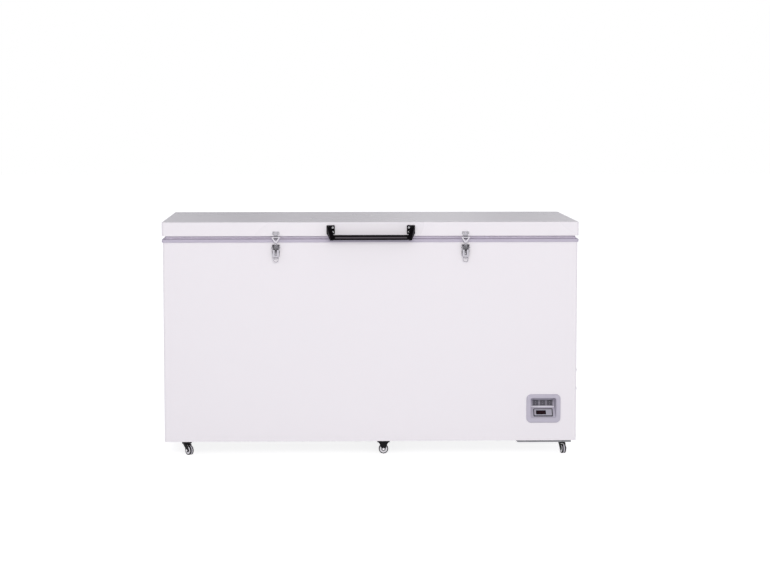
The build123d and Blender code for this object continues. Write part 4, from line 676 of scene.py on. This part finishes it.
def rocker_marks():
    """The line for on and the circle for off on each rocker."""
    rocker_tilt = math.radians(14)
    rocker_proud = 1.2 * MM
    line_half, line_low, line_high = 0.4 * MM, 3 * MM, 6.5 * MM
    line_proud, line_sunk = 0.12 * MM, 0.3 * MM
    circle_down, circle_proud = 5 * MM, 0.02 * MM
    circle_radius, circle_wire, circle_sides = 1.5 * MM, 0.25 * MM, 24
    down = Vector((0, -math.sin(rocker_tilt), -math.cos(rocker_tilt)))
    out = Vector((0, -math.cos(rocker_tilt), math.sin(rocker_tilt)))
    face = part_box("switch_bodies")[0].y - rocker_proud
    for index in (1, 2, 3):
        node = f"rocker_{index}"
        centre = middle(node)
        mark = bmesh.new()
        add_box(
            mark,
            (centre.x - line_half, face - line_proud, centre.z + line_low),
            (centre.x + line_half, face + line_sunk, centre.z + line_high),
        )
        place_piece(node + "_mark", mark, node, "rocker_grey", mark_white)
        ring = bmesh.new()
        start = Vector((centre.x, face, centre.z)) + down * circle_down + out * circle_proud
        add_ring(ring, start, out, circle_radius, circle_wire, circle_sides, RING_ROUNDS)
        place_piece(node + "_circle", ring, node, "rocker_grey", mark_white)


def ledge_highlight_strip():
    """A pale strip between the switches and the controller, a painted highlight on the ledge that faces up.
    """
    ledge_below_switches = 7 * MM
    strip_half, strip_low, strip_high = 46 * MM, 0.1 * MM, 5.5 * MM
    strip_front, strip_back = 0.8 * MM, 1.4 * MM
    switch_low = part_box("switch_bodies")[0]
    centre = middle("control_housing")
    ledge = switch_low.z - ledge_below_switches
    # painted highlight where the ledge faces up to the light
    strip = bmesh.new()
    add_box(
        strip,
        (centre.x - strip_half, switch_low.y - strip_front, ledge + strip_low),
        (centre.x + strip_half, switch_low.y + strip_back, ledge + strip_high),
    )
    place_piece("ledge_highlight_strip", strip, "cabinet", "panel_grey", ledge_highlight_paint)


def slope_directions():
    """Rightward, upward and outward directions of the controller's face."""
    slope_rise, slope_run = 38.0, 29.0
    length = math.hypot(slope_rise, slope_run)
    up = Vector((0, slope_run / length, slope_rise / length))
    out = Vector((0, -slope_rise / length, slope_run / length))
    return Vector((1, 0, 0)), up, out


def face_matrix(centre, right, up, out):
    """A matrix whose X, Y and Z axes are right, up and out at a centre."""
    turn = Matrix((right, up, out)).transposed().to_4x4()
    return Matrix.Translation(centre) @ turn


def add_flat_bar(mesh, place, x, y, width, height, sheet):
    """A thin bar in the plane of a face."""
    shape = Matrix.Diagonal((width, height, sheet, 1))
    bmesh.ops.create_cube(mesh, size=1.0, matrix=place @ Matrix.Translation((x, y, 0)) @ shape)


def add_digit(mesh, place, x):
    """Seven bars of one digit."""
    half_height, half_width = 5.2 * MM, 2.4 * MM
    flat, upright, thick, sheet = 3.6 * MM, 3.9 * MM, 0.7 * MM, 0.1 * MM
    for bar_y in (half_height, 0, -half_height):
        add_flat_bar(mesh, place, x, bar_y, flat, thick, sheet)
    for bar_x in (-half_width, half_width):
        for bar_y in (-half_height / 2, half_height / 2):
            add_flat_bar(mesh, place, x + bar_x, bar_y, thick, upright, sheet)


def controller_details():
    """Digits and lamps behind the controller's window, and the symbols on its keys."""
    behind_glass = 0.75 * MM
    right, up, out = slope_directions()
    window = middle("controller_window") + out * behind_glass
    window_digits(face_matrix(window, right, up, out))
    key_symbols(right, up, out)
    window_lamps(window, right, up, out)


def window_digits(place):
    """Four seven-segment digits."""
    digit_count, digit_pitch = 4, 8.4 * MM
    digits = bmesh.new()
    for number in range(digit_count):
        add_digit(digits, place, (number - (digit_count - 1) / 2) * digit_pitch)
    place_piece("controller_digits", digits, "cabinet", "window_dark", dim_segment)


def window_lamps(window, right, up, out):
    """Two small lamps at the left of the digits."""
    across, step, sunk = -23.5 * MM, 4 * MM, 0.1 * MM
    radius, height, sides = 1.0 * MM, 0.6 * MM, 16
    lamps = bmesh.new()
    for side in BOTH:
        centre = window + right * across + up * side * step - out * sunk
        add_rod(lamps, centre, out, radius, height, sides)
    place_piece("controller_lamps", lamps, "cabinet", "window_dark", lamp_red)


def key_symbols(right, up, out):
    """Up, down, set and standby symbols on the controller's four keys."""
    keys_from_end, symbols_out, half_pitch, ink_sheet = 10.5 * MM, 0.95 * MM, 4 * MM, 0.12 * MM
    arrow_radius, dash_width, dash_height = 1.7 * MM, 3.4 * MM, 0.8 * MM
    circle_radius, circle_wire = 1.3 * MM, 0.22 * MM
    keys = middle("controller_facia") + out * symbols_out
    keys.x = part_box("controller_facia")[1].x - keys_from_end
    board = face_matrix(keys, right, up, out)
    symbols = bmesh.new()
    for row in BOTH:
        spot = board @ Matrix.Translation((-half_pitch, row * half_pitch, 0))
        bmesh.ops.create_cone(
            symbols,
            cap_ends=True,
            segments=3,
            radius1=arrow_radius,
            radius2=arrow_radius,
            depth=ink_sheet,
            matrix=spot @ Matrix.Rotation(math.radians(90 * row), 4, "Z"),
        )
    add_flat_bar(symbols, board, half_pitch, half_pitch, dash_width, dash_height, ink_sheet)
    circle = board @ Vector((half_pitch, -half_pitch, 0))
    add_ring(symbols, circle, out, circle_radius, circle_wire, HEAD_SIDES, RING_ROUNDS)
    place_piece("controller_key_symbols", symbols, "cabinet", "facia_grey", ink)


def gasket_details():
    """Two fine bellows ribs round the seal."""
    rib_levels = (4.2 * MM, 6.6 * MM)
    rib_half, rib_proud, rib_sunk, from_corner = 0.5 * MM, 0.5 * MM, 1 * MM, 6 * MM
    low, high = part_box("lid_gasket")
    ribs = bmesh.new()
    for level in rib_levels:
        z = low.z + level
        for x_low, y_low, x_high, y_high in (
            (low.x + from_corner, low.y - rib_proud, high.x - from_corner, low.y + rib_sunk),
            (low.x + from_corner, high.y - rib_sunk, high.x - from_corner, high.y + rib_proud),
            (low.x - rib_proud, low.y + from_corner, low.x + rib_sunk, high.y - from_corner),
            (high.x - rib_sunk, low.y + from_corner, high.x + rib_proud, high.y - from_corner),
        ):
            add_box(ribs, (x_low, y_low, z - rib_half), (x_high, y_high, z + rib_half))
    place_piece("gasket_ribs", ribs, "lid", "gasket")


def hinge_details():
    """Screws in both leaves of each hinge, and the spring round its pin."""
    leaf_sheet, half_leaf, screw_across = 3 * MM, 35 * MM, 18 * MM
    screw_levels, lid_screw_down = (15 * MM, 75 * MM), 12 * MM
    screw_radius, screw_depth = 4.2 * MM, 2.0 * MM
    spring_turns, points_per_turn = 7, 12
    spring_radius, spring_length, spring_wire = 6.2 * MM, 42 * MM, 1.1 * MM
    leaf_low, leaf_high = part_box("hinge_cabinet_leaves")
    lid_screw_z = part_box("hinge_lid_leaves")[1].z - lid_screw_down
    cabinet_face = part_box("back_panel")[1].y + leaf_sheet
    lid_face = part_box("lid_shell")[1].y + leaf_sheet
    pin = Vector(joint_called("lid_hinge")["pos_m"])
    steps = spring_turns * points_per_turn
    for hand, side in HANDS:
        x = side * (leaf_high.x - half_leaf)
        places = []
        for a in BOTH:
            places += [(x + a * screw_across, cabinet_face, leaf_low.z + z) for z in screw_levels]
        name = f"hinge_{hand}_cabinet_screws"
        screws(name, places, BACKWARD, screw_radius, "cabinet", depth=screw_depth)
        places = [(x + a * screw_across, lid_face, lid_screw_z) for a in BOTH]
        screws(f"hinge_{hand}_lid_screws", places, BACKWARD, screw_radius, "lid", depth=screw_depth)
        spring = []
        for step in range(steps + 1):
            angle = 2 * math.pi * step / points_per_turn
            reach = Vector((0, math.cos(angle), math.sin(angle))) * spring_radius
            spring.append(Vector((x + (step / steps - 0.5) * spring_length, pin.y, pin.z)) + reach)
        place_tube(f"hinge_{hand}_spring", spring, spring_wire, "cabinet", "castor_steel")


def back_details():
    """The screws of the back grille and of the back panel."""
    grille_inset_x, grille_inset_z = 4 * MM, 8 * MM
    panel_inset_x, panel_inset_z, inner_screws = 60 * MM, 14 * MM, (-250 * MM, 150 * MM)
    low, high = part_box("rear_grille")
    places = []
    for x in (low.x + grille_inset_x, high.x - grille_inset_x):
        places += [(x, high.y, low.z + grille_inset_z), (x, high.y, high.z - grille_inset_z)]
    screws("rear_grille_screws", places, BACKWARD, 2.6 * MM, "cabinet", depth=1.0 * MM)
    low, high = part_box("back_panel")
    places = []
    for x in (low.x + panel_inset_x, *inner_screws, high.x - panel_inset_x):
        places += [(x, high.y, low.z + panel_inset_z), (x, high.y, high.z - panel_inset_z)]
    screws("back_panel_screws", places, BACKWARD, 3.2 * MM, "cabinet")


def side_details():
    """Screws at the ends of the right grille's hoods."""
    inset_y, inset_z, hood = 5 * MM, 7 * MM, 2.5 * MM
    low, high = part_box("side_grille")
    x = low.x + hood
    places = []
    for y in (low.y + inset_y, high.y - inset_y):
        places += [(x, y, low.z + inset_z), (x, y, high.z - inset_z)]
    screws("side_grille_screws", places, RIGHTWARD, 2.4 * MM, "cabinet", depth=1.0 * MM)


def under_details():
    """Screws through the rails, and painted shade for the base pan's drain slots."""
    left_rail_half, middle_rail_half, rail_screw_step = 19 * MM, 25 * MM, 200 * MM
    slot_rows, slot_pitch, slot_across = 7, 22 * MM, 30 * MM
    slot_half_length, slot_half_width = 20 * MM, 2 * MM
    slot_proud, slot_sunk = 0.15 * MM, 0.5 * MM
    low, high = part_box("mounting_rails")
    heads = []
    for x in (low.x + left_rail_half, high.x - middle_rail_half):
        heads += [(x, step * rail_screw_step, low.z) for step in (-1, 0, 1)]
    screws("rail_screws", heads, DOWNWARD, 4.0 * MM, "cabinet", depth=1.6 * MM)
    low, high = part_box("base_pan")
    # painted shade: dark bars where the drain slots would open
    slots = bmesh.new()
    for row in range(slot_rows):
        y = (row - (slot_rows - 1) / 2) * slot_pitch
        for column in BOTH:
            x = (low.x + high.x) / 2 + column * slot_across
            add_box(
                slots,
                (x - slot_half_length, y - slot_half_width, low.z - slot_proud),
                (x + slot_half_length, y + slot_half_width, low.z + slot_sunk),
            )
    place_piece("pan_slot_shade", slots, "cabinet", "zinc_sheet", recess_shade_paint)


def tank_details():
    """Drain plug and probe cover in the tank."""
    sheet = 1 * MM
    plug_x, plug_height = 80 * MM, 4 * MM
    plug_radius, plug_top, plug_sides = 16 * MM, 14 * MM, 32
    grip_half_length, grip_half_width, grip_low, grip_high = 8 * MM, 2 * MM, 3 * MM, 9 * MM
    cover_depth, cover_half_width, cover_round = 10 * MM, 18 * MM, 3 * MM
    cover_low, cover_high = 600 * MM, 680 * MM
    slot_count, slot_start, slot_pitch, slot_height = 5, 610 * MM, 14 * MM, 4 * MM
    slot_front, slot_back, slot_half_width = 10.6 * MM, 9.5 * MM, 12 * MM
    low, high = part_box("inner_liner")
    floor = low.z + sheet
    x = low.x + plug_x
    plug = bmesh.new()
    add_rod(plug, (x, 0, floor + plug_height / 2), UPWARD, plug_radius, plug_height, plug_sides, plug_top)
    add_box(
        plug,
        (x - grip_half_length, -grip_half_width, floor + grip_low),
        (x + grip_half_length, grip_half_width, floor + grip_high),
    )
    place_piece("drain_plug", plug, "cabinet", "lid_liner_plastic")
    probe = bmesh.new()
    wall = high.x - sheet
    add_box(probe, (wall - cover_depth, -cover_half_width, cover_low), (wall, cover_half_width, cover_high))
    bmesh.ops.bevel(probe, geom=probe.edges[:], offset=cover_round, segments=2, affect="EDGES")
    for slot in range(slot_count):
        z = slot_start + slot * slot_pitch
        add_box(
            probe,
            (wall - slot_front, -slot_half_width, z),
            (wall - slot_back, slot_half_width, z + slot_height),
        )
    place_piece("probe_cover", probe, "cabinet", "lid_liner_plastic")


def machine_room_details():
    """The discharge tube between compressor and condenser, and the fan's lead."""
    seam_height, tube_radius, lead_radius = 90 * MM, 3.2 * MM, 2.2 * MM
    low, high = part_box("compressor")
    centre = (low + high) / 2
    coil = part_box("condenser")[1]
    seam = low.z + seam_height
    front = centre.y - (high.x - low.x) / 2
    route = [
        (centre.x + 0.05, front + 0.02, seam + 0.02),
        (coil.x + 0.004, front - 0.01, seam + 0.03),
        (coil.x + 0.005, coil.y + 0.06, seam + 0.06),
        (coil.x + 0.004, coil.y - 0.01, coil.z - 0.02),
        (coil.x - 0.006, coil.y - 0.02, coil.z - 0.02),
    ]
    place_tube("discharge_line", route, tube_radius, "cabinet", "copper")
    box_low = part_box("terminal_box")[0]
    motor = middle("fan_motor")
    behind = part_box("fan_motor")[1].y
    route = [
        (motor.x, behind, motor.z + 0.01),
        (motor.x, behind + 0.01, motor.z),
        (box_low.x + 0.02, box_low.y - 0.01, box_low.z + 0.005),
        (box_low.x + 0.02, box_low.y + 0.002, box_low.z + 0.012),
    ]
    place_tube("fan_lead", route, lead_radius, "cabinet", "switch_black")


# Stage


def make_world():
    """White where it is seen, an even soft light, and a studio of light and dark where mirrored."""
    world = bpy.data.worlds.new("surround")
    bpy.context.scene.world = world
    world.use_nodes = True
    tree = world.node_tree
    light = tree.nodes["Background"]
    light.inputs["Color"].default_value = SURROUND_COLOUR
    light.inputs["Strength"].default_value = SURROUND
    mirrored = tree.nodes.new("ShaderNodeBackground")
    place = tree.nodes.new("ShaderNodeTexCoord")
    clutter = tree.nodes.new("ShaderNodeTexNoise")
    clutter.inputs["Scale"].default_value = STUDIO_CLUTTER
    tree.links.new(place.outputs["Generated"], clutter.inputs["Vector"])
    contrast = tree.nodes.new("ShaderNodeMapRange")
    contrast.inputs["From Min"].default_value = STUDIO_DARK_BELOW
    contrast.inputs["From Max"].default_value = STUDIO_BRIGHT_ABOVE
    contrast.inputs["To Min"].default_value = STUDIO_DARKEST
    tree.links.new(clutter.outputs["Fac"], contrast.inputs["Value"])
    tree.links.new(contrast.outputs["Result"], mirrored.inputs["Strength"])
    seen = tree.nodes.new("ShaderNodeBackground")
    seen.inputs["Strength"].default_value = BACKGROUND
    seen.inputs["Color"].default_value = (1, 1, 1, 1)
    path = tree.nodes.new("ShaderNodeLightPath")
    last = light.outputs["Background"]
    for ray, other in (("Is Glossy Ray", mirrored), ("Is Transmission Ray", seen), ("Is Camera Ray", seen)):
        mix = tree.nodes.new("ShaderNodeMixShader")
        tree.links.new(path.outputs[ray], mix.inputs["Fac"])
        tree.links.new(last, mix.inputs[1])
        tree.links.new(other.outputs["Background"], mix.inputs[2])
        last = mix.outputs["Shader"]
    tree.links.new(last, tree.nodes["World Output"].inputs["Surface"])


def seen_ray(tree):
    """1 for a ray from the camera, or one mirrored or passed through glass."""
    path = tree.nodes.new("ShaderNodeLightPath")
    value = path.outputs["Is Camera Ray"]
    for name in ("Is Glossy Ray", "Is Transmission Ray"):
        most = tree.nodes.new("ShaderNodeMath")
        most.operation = "MAXIMUM"
        tree.links.new(value, most.inputs[0])
        tree.links.new(path.outputs[name], most.inputs[1])
        value = most.outputs["Value"]
    return value


def make_floor():
    """A pale floor that keeps the object's shadow and is white where none falls."""
    mesh = bmesh.new()
    bmesh.ops.create_grid(mesh, x_segments=1, y_segments=1, size=FLOOR_SIZE / 2)
    data = bpy.data.meshes.new("floor")
    mesh.to_mesh(data)
    mesh.free()
    floor = bpy.data.objects.new("floor", data)
    bpy.context.scene.collection.objects.link(floor)
    material, tree_nodes, links, shader = new_material("floor")
    tree_nodes.remove(shader)
    seen = seen_ray(material.node_tree)
    matt = tree_nodes.new("ShaderNodeBsdfDiffuse")
    bounced = (FLOOR_COLOUR, FLOOR_COLOUR, FLOOR_COLOUR)
    shown = (FLOOR_SEEN, FLOOR_SEEN, FLOOR_SEEN)
    links.new(blend_colours(tree_nodes, links, seen, bounced, shown), matt.inputs["Color"])
    lift = tree_nodes.new("ShaderNodeEmission")
    links.new(spread(tree_nodes, links, seen, 0.0, FLOOR_LIFT), lift.inputs["Strength"])
    both = tree_nodes.new("ShaderNodeAddShader")
    links.new(matt.outputs["BSDF"], both.inputs[0])
    links.new(lift.outputs["Emission"], both.inputs[1])
    links.new(both.outputs["Shader"], tree_nodes["Material Output"].inputs["Surface"])
    data.materials.append(material)


def make_lamp():
    """One broad lamp in front and above, so that the front is brighter than the lid."""
    lamp = bpy.data.lights.new("front_lamp", "AREA")
    lamp.shape = "RECTANGLE"
    lamp.size = FRONT_LAMP_SIZE
    lamp.size_y = FRONT_LAMP_SIZE / 2
    lamp.energy = FRONT_LAMP
    lamp.color = FRONT_LAMP_COLOUR
    obj = bpy.data.objects.new("front_lamp", lamp)
    bpy.context.scene.collection.objects.link(obj)
    obj.location = FRONT_LAMP_PLACE
    obj.visible_glossy = False
    obj.rotation_euler = (Vector(FRONT_LAMP_AIM) - obj.location).to_track_quat("-Z", "Y").to_euler()


def make_camera():
    """The photograph's camera."""
    data = bpy.data.cameras.new("camera")
    data.sensor_width = SENSOR
    data.lens = CAMERA_LENS
    camera = bpy.data.objects.new("camera", data)
    bpy.context.scene.collection.objects.link(camera)
    forward = Vector(
        (
            math.sin(CAMERA_YAW) * math.cos(CAMERA_PITCH),
            math.cos(CAMERA_YAW) * math.cos(CAMERA_PITCH),
            -math.sin(CAMERA_PITCH),
        )
    )
    camera.location = CAMERA_PLACE
    camera.rotation_euler = forward.to_track_quat("-Z", "Y").to_euler()
    bpy.context.scene.camera = camera


dress_frame()
castor_details()
castor_screws()
handle_details()
lid_screw_recess_shade()
latch_details()
rocker_marks()
ledge_highlight_strip()
controller_details()
gasket_details()
hinge_details()
back_details()
side_details()
under_details()
tank_details()
machine_room_details()
make_world()
make_floor()
make_lamp()
make_camera()
bpy.context.scene.view_settings.view_transform = "Standard"

bpy.context.view_layer.update()
